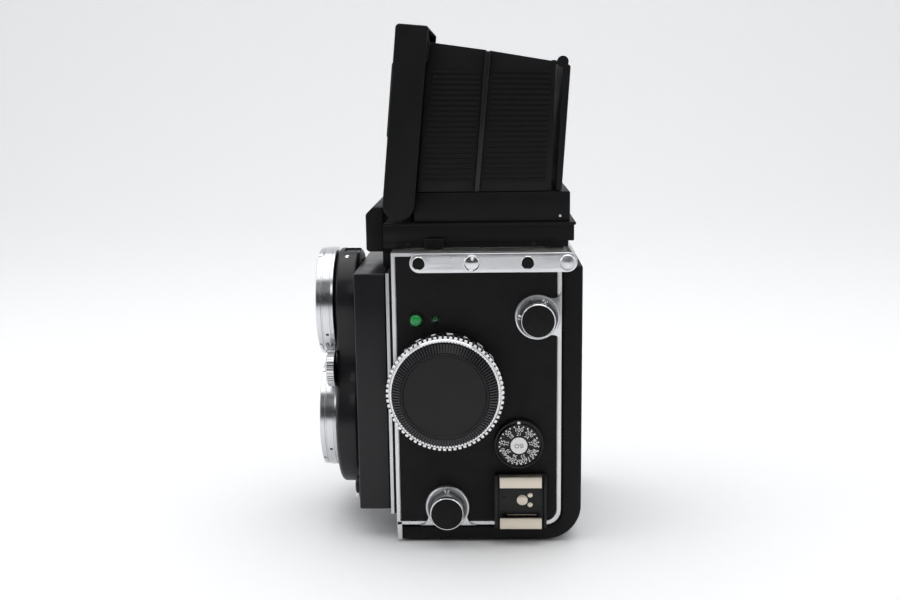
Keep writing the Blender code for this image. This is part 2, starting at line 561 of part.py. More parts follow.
def make_walls():
    """Side walls of two leaves each, with a middle rod, and the rear wall."""
    inner, outer = HOOD_X - 3.0, HOOD_X - 1.8
    back_top = WALL_TOP - 7.9
    outline = [(-10.6, WALL_FOOT), (41.4, WALL_FOOT), (43.0, back_top), (17.5, WALL_TOP - 3.4)]
    outline.append((-10.6 + lean_of_wall(WALL_TOP), WALL_TOP))
    rod_outline = [(11.6, WALL_FOOT), (13.6, WALL_FOOT)]
    for y, z in ((13.6, WALL_TOP - 3.9), (11.6, WALL_TOP - 3.6)):
        rod_outline.append((y + lean_of_wall(z), z))
    for name, sign in (("left", 1), ("right", -1)):
        low, high = sorted((sign * inner, sign * outer))
        wall = prism(f"hood_wall_{name}", outline, "x", low, high)
        rod_low, rod_high = sorted((sign * (inner + 0.6), sign * (outer + 1.2)))
        join(wall, prism(f"w_rod_{name}", rod_outline, "x", rod_low, rod_high))
    half = HOOD_X - 1.6
    rear_outline = [(43.0, WALL_FOOT), (45.4, WALL_FOOT), (48.6, WALL_TOP - 9.6), (45.6, WALL_TOP - 7.8)]
    rear = prism("hood_wall_rear", rear_outline, "x", -half, half)
    lug = (45.6, WALL_TOP - 8.0)
    join(rear, disc("w_lug_a", lug, "x", 2.2, half - 1.5, half, 14))
    join(rear, disc("w_lug_b", lug, "x", 2.2, -half, -half + 1.5, 14))


# ------------------------------------------------------- finishes and axes
def leaned(y, z):
    """Where a point of the upright lid goes when it leans back."""
    spot = Matrix.Rotation(-LID_LEAN, 2) @ Vector((y - LID_HINGE[0], z - LID_HINGE[1]))
    return (LID_HINGE[0] + spot.x, LID_HINGE[1] + spot.y)


def paint():
    """Give every piece its own material."""
    for finish_name, names in PIECES.items():
        colour, metallic, roughness = FINISHES[finish_name]
        for name in names:
            material = bpy.data.materials.new(f"{name}_{finish_name}")
            material.use_nodes = True
            shader = material.node_tree.nodes["Principled BSDF"]
            shader.inputs["Base Color"].default_value = (*colour, 1.0)
            shader.inputs["Metallic"].default_value = metallic
            shader.inputs["Roughness"].default_value = roughness
            bpy.data.objects[name].data.materials.append(material)


def hang(name, x, y, z, parent=None):
    """Put a piece's origin on its joint's axis, under the piece that carries it."""
    piece = bpy.data.objects[name]
    spot = Vector((x, y, z)) * MM
    piece.data.transform(Matrix.Translation(-spot))
    piece.location = spot
    if parent:
        carrier = bpy.data.objects[parent]
        piece.parent = carrier
        piece.matrix_parent_inverse = Matrix.Translation(-carrier.location)


def hang_all():
    """Set the origins of the moving pieces."""
    hang("focus_knob", SIDE_X + 5.0, *FOCUS)
    hang("battery", SIDE_X, *FOCUS, "focus_knob")
    hang("battery_cap", SIDE_X + 12.0, *FOCUS, "focus_knob")
    hang("iso_dial", SIDE_X + 2.0, *ISO)
    hang("meter_button", SIDE_X, *BUTTON)
    hang("spool_knob_upper", SIDE_X + 4.0, *UPPER_SPOOL)
    hang("spool_knob_lower", SIDE_X + 4.0, *LOWER_SPOOL)
    hang("take_up_spool", 0.0, UPPER_SPOOL[0] - 1.0, UPPER_SPOOL[1])
    hang("supply_spool", 0.0, LOWER_SPOOL[0] - 0.3, LOWER_SPOOL[1] + 0.6)
    hang("crank_arm", -SIDE_X - 5.0, *CRANK)
    hang("crank_handle", -SIDE_X - 10.0, CRANK[0], CRANK[1] - 27.0, "crank_arm")
    hang("back_door", 0.0, *DOOR_PIN)
    for name in ("pressure_plate", "tripod_bush"):
        hang(name, 0.0, *DOOR_PIN, "back_door")
    hang("door_latch", 0.0, *LATCH_PIN)
    hang("front_standard", 0.0, STANDARD_BACK, TAKE_Z)
    for tag, z in (("view", VIEW_Z), ("take", TAKE_Z)):
        hang(f"{tag}_barrel", 0.0, HOUSING_FRONT, z, "front_standard")
        hang(f"{tag}_glass", 0.0, HOUSING_FRONT, z, "front_standard")
    hang("lens_housing", 0.0, HOUSING_BACK, TAKE_Z, "front_standard")
    hang("aperture_wheel", WHEEL[0], HOUSING_FRONT, WHEEL[1], "front_standard")
    hang("shutter_wheel", -WHEEL[0], HOUSING_FRONT, WHEEL[1], "front_standard")
    for name in ("release_collar", "release_button"):
        hang(name, RELEASE[0], STANDARD_FRONT, RELEASE[1], "front_standard")
    hang("sync_lever", SYNC[0], STANDARD_FRONT, SYNC[1], "front_standard")
    hang("hood_lid", 0.0, *LID_HINGE)
    hang("finder_flap", 0.0, *leaned(LID_FACE + 1.4, LID_HINGE[1] + 52.6), "hood_lid")
    for name in ("magnifier_frame", "magnifier_glass"):
        hang(name, 0.0, *leaned(LID_FACE + 4.0, LID_HINGE[1] + 55.6), "hood_lid")
    hang("hood_catch", HOOD_X, -4.1, 119.7)


def main():
    for obj in list(bpy.data.objects):
        bpy.data.objects.remove(obj, do_unlink=True)
    make_body()
    make_sides()
    make_nose()
    make_door()
    make_transport()
    make_spool_knobs()
    make_focus()
    make_iso()
    make_shoe()
    make_small_controls()
    make_crank()
    make_front()
    make_hood()
    make_lid()
    make_walls()
    paint()
    hang_all()


main()
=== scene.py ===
"""Looks of a twin lens reflex camera with its folding hood raised.

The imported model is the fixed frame.  Each sub-assembly is a class that reads
its place from the frame, models its pieces and dresses them.  Sizes here are
millimetres; MM turns them to the frame's metres.  +Z is up, -Y is where the
lenses look, +X is the side with the focus knob.
"""

from __future__ import annotations

import logging
import math
from dataclasses import dataclass, field
from enum import Enum

import bpy
from mathutils import Matrix, Vector

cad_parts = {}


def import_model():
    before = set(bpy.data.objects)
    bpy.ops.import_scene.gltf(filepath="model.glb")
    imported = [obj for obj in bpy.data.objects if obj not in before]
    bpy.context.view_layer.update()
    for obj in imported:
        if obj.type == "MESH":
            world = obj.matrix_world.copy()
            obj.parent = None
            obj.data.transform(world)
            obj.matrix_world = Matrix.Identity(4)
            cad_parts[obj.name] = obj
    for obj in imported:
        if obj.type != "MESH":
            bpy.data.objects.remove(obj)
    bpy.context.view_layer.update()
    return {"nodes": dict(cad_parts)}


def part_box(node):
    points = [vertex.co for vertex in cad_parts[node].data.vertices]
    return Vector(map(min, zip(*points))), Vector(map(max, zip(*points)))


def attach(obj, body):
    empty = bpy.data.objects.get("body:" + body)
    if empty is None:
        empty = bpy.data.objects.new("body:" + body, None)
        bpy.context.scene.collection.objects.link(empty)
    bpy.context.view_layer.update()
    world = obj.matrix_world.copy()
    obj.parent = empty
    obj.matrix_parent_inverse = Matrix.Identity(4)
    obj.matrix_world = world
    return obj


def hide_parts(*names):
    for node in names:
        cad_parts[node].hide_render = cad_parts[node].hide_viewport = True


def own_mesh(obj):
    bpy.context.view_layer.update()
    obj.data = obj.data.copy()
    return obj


MM = 0.001
# Side wall of the casting: the dial, shoe, button and spool knobs stand on this plane.
SIDE = 40.0
LOG = logging.getLogger("camera")
Point = tuple[float, float]
Span = tuple[float, float]


# ---------------------------------------------------------------- finishes
class Relief(Enum):
    """How a surface was made, which decides its bump pattern."""

    PLAIN = "plain"
    PEBBLE = "pebble"
    SPRAYED = "sprayed"
    BRUSHED = "brushed"
    GROUND = "ground"


def linear(code: str) -> tuple[float, float, float, float]:
    """Turn an sRGB hex colour to linear values.

    Args:
        code: Six hex digits, with or without a leading hash.

    Returns:
        Red, green, blue and an alpha of one.
    """
    digits = code.lstrip("#")
    parts = [int(digits[k : k + 2], 16) / 255 for k in (0, 2, 4)]
    low = [p / 12.92 if p <= 0.04045 else ((p + 0.055) / 1.055) ** 2.4 for p in parts]
    return (low[0], low[1], low[2], 1.0)


def add_node(
    tree: bpy.types.NodeTree,
    kind: str,
    settings: dict[str, object] | None = None,
    links: dict[str, bpy.types.NodeSocket] | None = None,
) -> bpy.types.Node:
    """Add a node with its settings and the links into it.

    Args:
        tree: The node tree to add to.
        kind: The node's type name.
        settings: Attribute values, or socket values under "in:Name".
        links: Output sockets to join to the named inputs.

    Returns:
        The new node.
    """
    made = tree.nodes.new(kind)
    for key, value in (settings or {}).items():
        if key.startswith("in:"):
            made.inputs[key[3:]].default_value = value
        else:
            setattr(made, key, value)
    for key, socket in (links or {}).items():
        tree.links.new(socket, made.inputs[key])
    return made


@dataclass(frozen=True)
class Finish:
    """A real surface finish and the numbers that show it.

    Attributes:
        name: Material name.
        colour: Main sRGB colour.
        fleck: Second sRGB colour, mixed in softly.
        metallic: Principled metallic value.
        roughness: Middle roughness.
        spread: How far the roughness wanders.
        relief: Bump pattern.
        grain: Size of the pattern in millimetres.
        depth: Height of the pattern in millimetres.
        coat: Clear coat weight.
        transmission: Share of light let through.
        ior: Index of refraction.
        slot: The record's material slot; not used.
    """

    name: str
    colour: str
    fleck: str
    metallic: float
    roughness: float
    slot: str
    spread: float = 0.05
    relief: Relief = Relief.PLAIN
    grain: float = 1.0
    depth: float = 0.02
    coat: float = 0.0
    transmission: float = 0.0
    ior: float = 1.45

    def pattern(self, tree: bpy.types.NodeTree, place: bpy.types.NodeSocket) -> bpy.types.NodeSocket:
        """Build the height pattern of this relief.

        Args:
            tree: The material's node tree.
            place: Object coordinates in metres.

        Returns:
            A socket with heights from nought to one.
        """
        scale = 1.0 / (self.grain * MM)
        if self.relief is Relief.PEBBLE:
            cells = add_node(
                tree,
                "ShaderNodeTexVoronoi",
                {"feature": "SMOOTH_F1", "in:Scale": scale, "in:Randomness": 0.95, "in:Smoothness": 0.35},
                {"Vector": place},
            )
            return cells.outputs["Distance"]
        if self.relief is Relief.BRUSHED:
            stretch = add_node(
                tree, "ShaderNodeMapping", {"in:Scale": (1.0, 0.04, 1.0)}, {"Vector": place}
            )
            lines = add_node(
                tree,
                "ShaderNodeTexNoise",
                {"in:Scale": scale, "in:Detail": 3.0, "in:Roughness": 0.6},
                {"Vector": stretch.outputs["Vector"]},
            )
            return lines.outputs["Fac"]
        detail = 5.0 if self.relief is Relief.GROUND else 2.0
        grit = add_node(
            tree,
            "ShaderNodeTexNoise",
            {"in:Scale": scale, "in:Detail": detail, "in:Roughness": 0.55},
            {"Vector": place},
        )
        return grit.outputs["Fac"]

    def material(self) -> bpy.types.Material:
        """Return this finish's material, made once.

        Returns:
            The Blender material.
        """
        known = bpy.data.materials.get(self.name)
        if known:
            return known
        made = bpy.data.materials.new(self.name)
        made.use_nodes = True
        tree = made.node_tree
        shader = tree.nodes["Principled BSDF"]
        place = add_node(tree, "ShaderNodeTexCoord").outputs["Object"]
        drift = add_node(
            tree, "ShaderNodeTexNoise", {"in:Scale": 140.0, "in:Detail": 4.0}, {"Vector": place}
        )
        tone = add_node(tree, "ShaderNodeMix", {"data_type": "RGBA"})
        tone.inputs[6].default_value = linear(self.colour)
        tone.inputs[7].default_value = linear(self.fleck)
        tree.links.new(drift.outputs["Fac"], tone.inputs[0])
        tree.links.new(tone.outputs[2], shader.inputs["Base Color"])
        wander = add_node(
            tree,
            "ShaderNodeMapRange",
            {
                "in:From Min": 0.3,
                "in:From Max": 0.7,
                "in:To Min": max(self.roughness - self.spread, 0.02),
                "in:To Max": self.roughness + self.spread,
            },
            {"Value": drift.outputs["Fac"]},
        )
        tree.links.new(wander.outputs["Result"], shader.inputs["Roughness"])
        shader.inputs["Metallic"].default_value = self.metallic
        shader.inputs["Coat Weight"].default_value = self.coat
        shader.inputs["Transmission Weight"].default_value = self.transmission
        if not self.metallic:
            shader.inputs["IOR"].default_value = self.ior
        if self.relief is not Relief.PLAIN:
            bump = add_node(
                tree,
                "ShaderNodeBump",
                {"in:Strength": 0.6, "in:Distance": self.depth * MM},
                {"Height": self.pattern(tree, place)},
            )
            tree.links.new(bump.outputs["Normal"], shader.inputs["Normal"])
        return made


# Embossed leatherette, vinyl on cloth: a pebble of about half a millimetre and a dull sheen.
LEATHERETTE = Finish(
    "embossed_leatherette", "#0B0A0B", "#111012", 0.0, 0.58,
    "leatherette", 0.08, Relief.PEBBLE, 0.55, 0.09, ior=1.3
)
# Satin chrome on brass: matt nickel under thin chrome spreads highlights without streaks.
SATIN_CHROME = Finish(
    "satin_chrome", "#D3D4D6", "#E0E1E3", 1.0, 0.30, "bright_trim", 0.05, Relief.SPRAYED, 0.25, 0.01,
)
# Brushed stainless bar: strokes run along the bar.
BRUSHED_BAR = Finish(
    "brushed_stainless", "#DCDDDF", "#E8E9EB", 1.0, 0.33, "bright_trim", 0.06, Relief.BRUSHED, 0.3, 0.02,
)
# Polished chrome: near mirror with faint haze.
POLISHED_CHROME = Finish("polished_chrome", "#D9D9DA", "#E4E4E5", 1.0, 0.13, "chrome_parts", 0.03)
# Lens rings: turned brass, chromed with a fine satin.
RING_CHROME = Finish("satin_turned_chrome", "#D4D5D8", "#DEDFE1", 1.0, 0.21, "chrome_parts", 0.04)
# Black enamel sprayed on cast metal: smooth, semi gloss, a faint orange peel.
BLACK_ENAMEL = Finish(
    "black_enamel", "#141317", "#19181C", 0.0, 0.36, "black_paint", 0.05, Relief.SPRAYED, 0.5, 0.012,
    coat=0.12, ior=1.36,
)
# Black crackle-free matt lacquer of the hood's sheet metal.
MATT_LACQUER = Finish(
    "matt_hood_lacquer", "#0A0A0B", "#0F0F11", 0.0, 0.50, "black_paint", 0.07, Relief.SPRAYED, 0.35, 0.02,
    ior=1.3,
)
# Moulded black ABS: softly polished tool marks.
BLACK_ABS = Finish(
    "moulded_black_abs", "#0D0D0E", "#131315", 0.0, 0.36, "black_plastic", 0.06, Relief.SPRAYED, 0.4,
    0.012, ior=1.38,
)
# The same ABS where fingers have dulled its raised ribs.
WORN_ABS = Finish("rubbed_black_abs", "#2B2B2E", "#353538", 0.0, 0.42, "black_plastic", 0.06, ior=1.54)
# Matt black flock paint of the inner walls.
INNER_BLACK = Finish(
    "anti_glare_black", "#060606", "#0C0C0C", 0.0, 0.85, "black_paint", 0.05, Relief.GROUND, 0.5, 0.05,
)
# White filling paint of numerals and marks.
WHITE_INK = Finish("white_filling_paint", "#FAFAF8", "#FEFEFC", 0.0, 0.55, "black_plastic", 0.04)
GREY_MARK = Finish("grey_engraving_paint", "#3A3A3C", "#4A4A4C", 0.0, 0.6, "black_plastic", 0.04)
# Green button: dyed acrylic, glossy.
GREEN_ACRYLIC = Finish(
    "green_acrylic", "#0F8C3F", "#17A04D", 0.0, 0.25, "green_plastic", 0.04, coat=0.4, ior=1.49,
)
# Unlit lamp: deep green clear acrylic.
LAMP_ACRYLIC = Finish(
    "dark_green_lamp", "#0B3A20", "#12502C", 0.0, 0.18, "lamp_plastic", 0.03, coat=0.6, ior=1.49,
)
# Contacts and rails: pale gold plate over nickel.
PALE_GOLD = Finish(
    "pale_gold_plate", "#DDD3C2", "#E6DDCF", 1.0, 0.42, "brass_contact", 0.05, Relief.BRUSHED, 0.25, 0.01,
)
# Multi-coated optical glass: dark with a cool sheen.
COATED_GLASS = Finish(
    "coated_glass", "#2A2F45", "#353049", 0.0, 0.03, "lens_glass", 0.01, coat=1.0, transmission=0.75,
    ior=1.62,
)
CLEAR_GLASS = Finish(
    "clear_glass", "#E9EEF0", "#F2F5F6", 0.0, 0.03, "lens_glass", 0.01, transmission=0.95, ior=1.52,
)
SCREEN_GLASS = Finish(
    "ground_screen", "#C9CDCB", "#D6DAD8", 0.0, 0.6, "screen_glass", 0.05, Relief.GROUND, 0.2, 0.01,
    transmission=0.3, ior=1.52,
)
SILVERED = Finish("front_silvered_mirror", "#E8EAEC", "#EDEFF0", 1.0, 0.03, "mirror_glass", 0.01)
CAN_STEEL = Finish(
    "battery_can_steel", "#B9BABC", "#C6C7C9", 1.0, 0.3, "battery_steel", 0.05, Relief.BRUSHED, 0.4, 0.01,
)
ROLLER_STEEL = Finish(
    "turned_roller_steel", "#AFB0B2", "#BDBEC0", 1.0, 0.25, "roller_steel", 0.05, Relief.BRUSHED, 0.3,
    0.01,
)
CAST_ALLOY = Finish(
    "die_cast_alloy", "#C4C3C0", "#D2D1CE", 1.0, 0.36, "casting", 0.06, Relief.SPRAYED, 0.5, 0.02,
)
SPOOL_PLASTIC = Finish("spool_plastic", "#141415", "#1E1E20", 0.0, 0.45, "black_plastic", 0.06, ior=1.5)


# ------------------------------------------------------------- workbench
def corners(node: str) -> tuple[Vector, Vector]:
    """Give a frame node's lowest and highest corners in millimetres.

    Args:
        node: The node's name.

    Returns:
        Low and high corners.
    """
    low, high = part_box(node)
    return Vector(low) / MM, Vector(high) / MM


def centre(node: str) -> Vector:
    """Give the middle of a frame node's box in millimetres."""
    low, high = corners(node)
    return (low + high) / 2


def point(axis: str, u: float, v: float, along: float) -> Vector:
    """Turn in-plane coordinates to a point in metres.

    Args:
        axis: "x", "y" or "z", the direction that along runs in.
        u: First in-plane coordinate in millimetres.
        v: Second in-plane coordinate in millimetres.
        along: Distance along the axis in millimetres.

    Returns:
        The point in metres.
    """
    if axis == "x":
        return Vector((along, u, v)) * MM
    if axis == "y":
        return Vector((u, along, v)) * MM
    return Vector((u, v, along)) * MM


def arc(middle: Point, radius: float, start: float, stop: float, count: int) -> list[Point]:
    """Give points on an arc, ends included.

    Args:
        middle: Centre of the arc.
        radius: Its radius.
        start: First angle in degrees.
        stop: Last angle in degrees.
        count: Number of points.

    Returns:
        The points in order.
    """
    turns = [math.radians(start + (stop - start) * k / (count - 1)) for k in range(count)]
    return [(middle[0] + radius * math.cos(t), middle[1] + radius * math.sin(t)) for t in turns]


def rounded_bar(u: Span, v: Span, radius: float, count: int = 12) -> list[Point]:
    """Give a rectangle outline with round corners."""
    quarters = (
        ((u[1] - radius, v[0] + radius), -90),
        ((u[1] - radius, v[1] - radius), 0),
        ((u[0] + radius, v[1] - radius), 90),
        ((u[0] + radius, v[0] + radius), 180),
    )
    outline: list[Point] = []
    for middle, start in quarters:
        outline += arc(middle, radius, start, start + 90, count)
    return outline


def toothed_ring(middle: Point, outer: float, inner: float, teeth: int, land: float = 0.5) -> list[Point]:
    """Give a ring outline with flat-topped teeth.

    Args:
        middle: Centre of the ring.
        outer: Radius over the teeth.
        inner: Radius between them.
        teeth: Number of teeth.
        land: Share of each pitch that a tooth's top takes.

    Returns:
        The outline's points.
    """
    outline = []
    for k in range(teeth):
        for share, radius in ((0, outer), (land - 0.06, outer), (land, inner), (0.94, inner)):
            turn = math.tau * (k + share) / teeth
            outline.append((middle[0] + radius * math.cos(turn), middle[1] + radius * math.sin(turn)))
    return outline


def fresh(
    name: str, points: list[Vector], edges: list[tuple[int, int]], faces: list[list[int]],
) -> bpy.types.Object:
    """Make an object from a drawn line or face, alone selected and active."""
    mesh = bpy.data.meshes.new(name)
    mesh.from_pydata([tuple(p) for p in points], edges, faces)
    piece = bpy.data.objects.new(name, mesh)
    bpy.context.collection.objects.link(piece)
    hold(piece)
    return piece


def hold(piece: bpy.types.Object) -> None:
    """Select one object alone and make it active."""
    bpy.ops.object.select_all(action="DESELECT")
    piece.select_set(True)
    bpy.context.view_layer.objects.active = piece


def ease(piece: bpy.types.Object, width: float, segments: int = 2, angle: float = 35.0) -> bpy.types.Object:
    """Round a piece's hard edges with an applied bevel and shade it.

    Args:
        piece: The piece.
        width: Bevel width in millimetres, or nought for none.
        segments: Steps in the rounding.
        angle: Smallest edge angle that is rounded, in degrees.

    Returns:
        The same piece.
    """
    hold(piece)
    if width > 0:
        rounding = piece.modifiers.new("rounding", "BEVEL")
        rounding.width = width * MM
        rounding.segments = segments
        rounding.limit_method = "ANGLE"
        rounding.angle_limit = math.radians(angle)
        bpy.ops.object.modifier_apply(modifier=rounding.name)
    bpy.ops.object.shade_smooth_by_angle(angle=math.radians(32))
    return piece


def extruded(
    name: str, outline: list[Point], axis: str, span: Span, bevel: float = 0.0, segments: int = 2,
    angle: float = 35.0
) -> bpy.types.Object:
    """Extrude a flat outline into a solid and round its edges.

    Args:
        name: The piece's name.
        outline: The outline's points in the plane across the axis.
        axis: "x", "y" or "z".
        span: Start and end along the axis in millimetres.
        bevel: Edge rounding in millimetres.
        segments: Steps in the rounding.
        angle: Smallest edge angle that is rounded.

    Returns:
        The solid piece.
    """
    low, high = sorted(span)
    base = [point(axis, u, v, low) for u, v in outline]
    piece = fresh(name, base, [], [list(range(len(base)))])
    bpy.ops.object.mode_set(mode="EDIT")
    bpy.ops.mesh.select_all(action="SELECT")
    rise = point(axis, 0, 0, high - low)
    bpy.ops.mesh.extrude_region_move(TRANSFORM_OT_translate={"value": tuple(rise)})
    bpy.ops.mesh.select_all(action="SELECT")
    bpy.ops.mesh.normals_make_consistent(inside=False)
    bpy.ops.object.mode_set(mode="OBJECT")
    return ease(piece, bevel, segments, angle)


def block(name: str, x: Span, y: Span, z: Span, bevel: float = 0.3, segments: int = 2) -> bpy.types.Object:
    """Make a rounded block from its three spans."""
    outline = [(y[0], z[0]), (y[1], z[0]), (y[1], z[1]), (y[0], z[1])]
    return extruded(name, outline, "x", x, bevel, segments)


def turned(
    name: str, profile: list[Point], axis: str, middle: Point, steps: int = 64, bevel: float = 0.0
) -> bpy.types.Object:
    """Turn a profile about an axis, as on a lathe.

    Args:
        name: The piece's name.
        profile: Points of (radius, along); an end at radius nought closes there.
        axis: "x", "y" or "z".
        middle: The axis's place across it.
        steps: Steps round the circle.
        bevel: Edge rounding in millimetres.

    Returns:
        The turned piece.
    """
    points = [point(axis, middle[0] + radius, middle[1], along) for radius, along in profile]
    edges = [(k, k + 1) for k in range(len(points) - 1)]
    if all(radius > 0 for radius, _ in profile):
        edges.append((len(points) - 1, 0))
    piece = fresh(name, points, edges, [])
    bpy.ops.object.mode_set(mode="EDIT")
    bpy.ops.mesh.select_all(action="SELECT")
    bpy.ops.mesh.spin(
        steps=steps,
        angle=math.tau,
        center=tuple(point(axis, middle[0], middle[1], 0)),
        axis=tuple(point(axis, 0, 0, 1).normalized()),
    )
    bpy.ops.mesh.select_all(action="SELECT")
    bpy.ops.mesh.remove_doubles(threshold=2e-7)
    bpy.ops.mesh.normals_make_consistent(inside=False)
    bpy.ops.object.mode_set(mode="OBJECT")
    return ease(piece, bevel)


def carve(piece: bpy.types.Object, *tools: bpy.types.Object) -> bpy.types.Object:
    """Cut tools out of a piece and throw the tools away."""
    for tool in tools:
        hold(piece)
        cut = piece.modifiers.new("cut", "BOOLEAN")
        cut.operation = "DIFFERENCE"
        cut.solver = "EXACT"
        cut.object = tool
        bpy.ops.object.modifier_apply(modifier=cut.name)
        bpy.data.objects.remove(tool, do_unlink=True)
    return piece


def fuse(piece: bpy.types.Object, *others: bpy.types.Object) -> bpy.types.Object:
    """Unite other solids with a piece and throw them away."""
    for other in others:
        hold(piece)
        weld = piece.modifiers.new("weld", "BOOLEAN")
        weld.operation = "UNION"
        weld.solver = "EXACT"
        weld.object = other
        bpy.ops.object.modifier_apply(modifier=weld.name)
        bpy.data.objects.remove(other, do_unlink=True)
    return piece


def gather(name: str, parts: list[bpy.types.Object]) -> bpy.types.Object:
    """Join separate parts into one object with this name."""
    hold(parts[0])
    for part in parts:
        part.select_set(True)
    bpy.ops.object.join()
    parts[0].name = name
    return parts[0]


def round_copies(pattern: bpy.types.Object, count: int, axis: str, middle: Point) -> list[bpy.types.Object]:
    """Copy a part evenly round an axis, each copy with its own mesh.

    Args:
        pattern: The part at its first place.
        count: How many there are in all.
        axis: The axis's direction.
        middle: Its place.

    Returns:
        The part and its copies.
    """
    hub = Matrix.Translation(point(axis, middle[0], middle[1], 0))
    parts = [pattern]
    for k in range(1, count):
        copy = pattern.copy()
        copy.data = pattern.data.copy()
        bpy.context.collection.objects.link(copy)
        turn = Matrix.Rotation(math.tau * k / count, 4, axis.upper())
        copy.data.transform(hub @ turn @ hub.inverted())
        parts.append(copy)
    return parts


def lean(piece: bpy.types.Object, middle: Point, angle: float, axis: str = "x") -> bpy.types.Object:
    """Turn a piece's mesh about an axis through a point, in degrees."""
    hub = Matrix.Translation(point(axis, middle[0], middle[1], 0))
    piece.data.transform(hub @ Matrix.Rotation(math.radians(angle), 4, axis.upper()) @ hub.inverted())
    return piece


def lettering(name: str, words: str, size: float, place: Matrix) -> bpy.types.Object:
    """Make raised lettering as a mesh.

    Args:
        name: The piece's name.
        words: The text, generic numbers or signs only.
        size: Letter height in millimetres.
        place: Where the text's own XY plane goes, in metres.

    Returns:
        The mesh object.
    """
    bpy.ops.object.select_all(action="DESELECT")
    bpy.ops.object.text_add()
    letters = bpy.context.object
    letters.data.body = words
    letters.data.size = size * MM * 1.35
    letters.data.extrude = 0.00002
    letters.data.resolution_u = 3
    letters.data.align_x = "CENTER"
    letters.data.align_y = "CENTER"
    bpy.ops.object.convert(target="MESH")
    letters.name = name
    letters.data.transform(place)
    return letters


def side_text_place(x: float, y: float, z: float, turn: float = 0.0) -> Matrix:
    """Give the place of text that faces +X and reads upright, turned in degrees."""
    face = Matrix(((0, 0, 1, 0), (1, 0, 0, 0), (0, 1, 0, 0), (0, 0, 0, 1)))
    return Matrix.Translation(Vector((x, y, z)) * MM) @ face @ Matrix.Rotation(math.radians(turn), 4, "Z")


def dress(piece: bpy.types.Object, finish: Finish, body: str, *nodes: str) -> bpy.types.Object:
    """Give a piece its finish, its body and the nodes that it stands for.

    Args:
        piece: The piece.
        finish: Its surface finish.
        body: The frame body that carries it.
        nodes: Frame nodes that it replaces.

    Returns:
        The same piece.
    """
    piece.data.materials.clear()
    piece.data.materials.append(finish.material())
    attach(piece, body)
    if nodes:
        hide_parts(*nodes)
    LOG.info("piece %s on %s, %s", piece.name, body, finish.name)
    return piece


def dress_node(nodes: dict[str, bpy.types.Object], name: str, finish: Finish) -> None:
    """Give a frame node that stays visible a better material."""
    target = nodes[name]
    target.data.materials.clear()
    target.data.materials.append(finish.material())
    LOG.info("node %s, %s", name, finish.name)


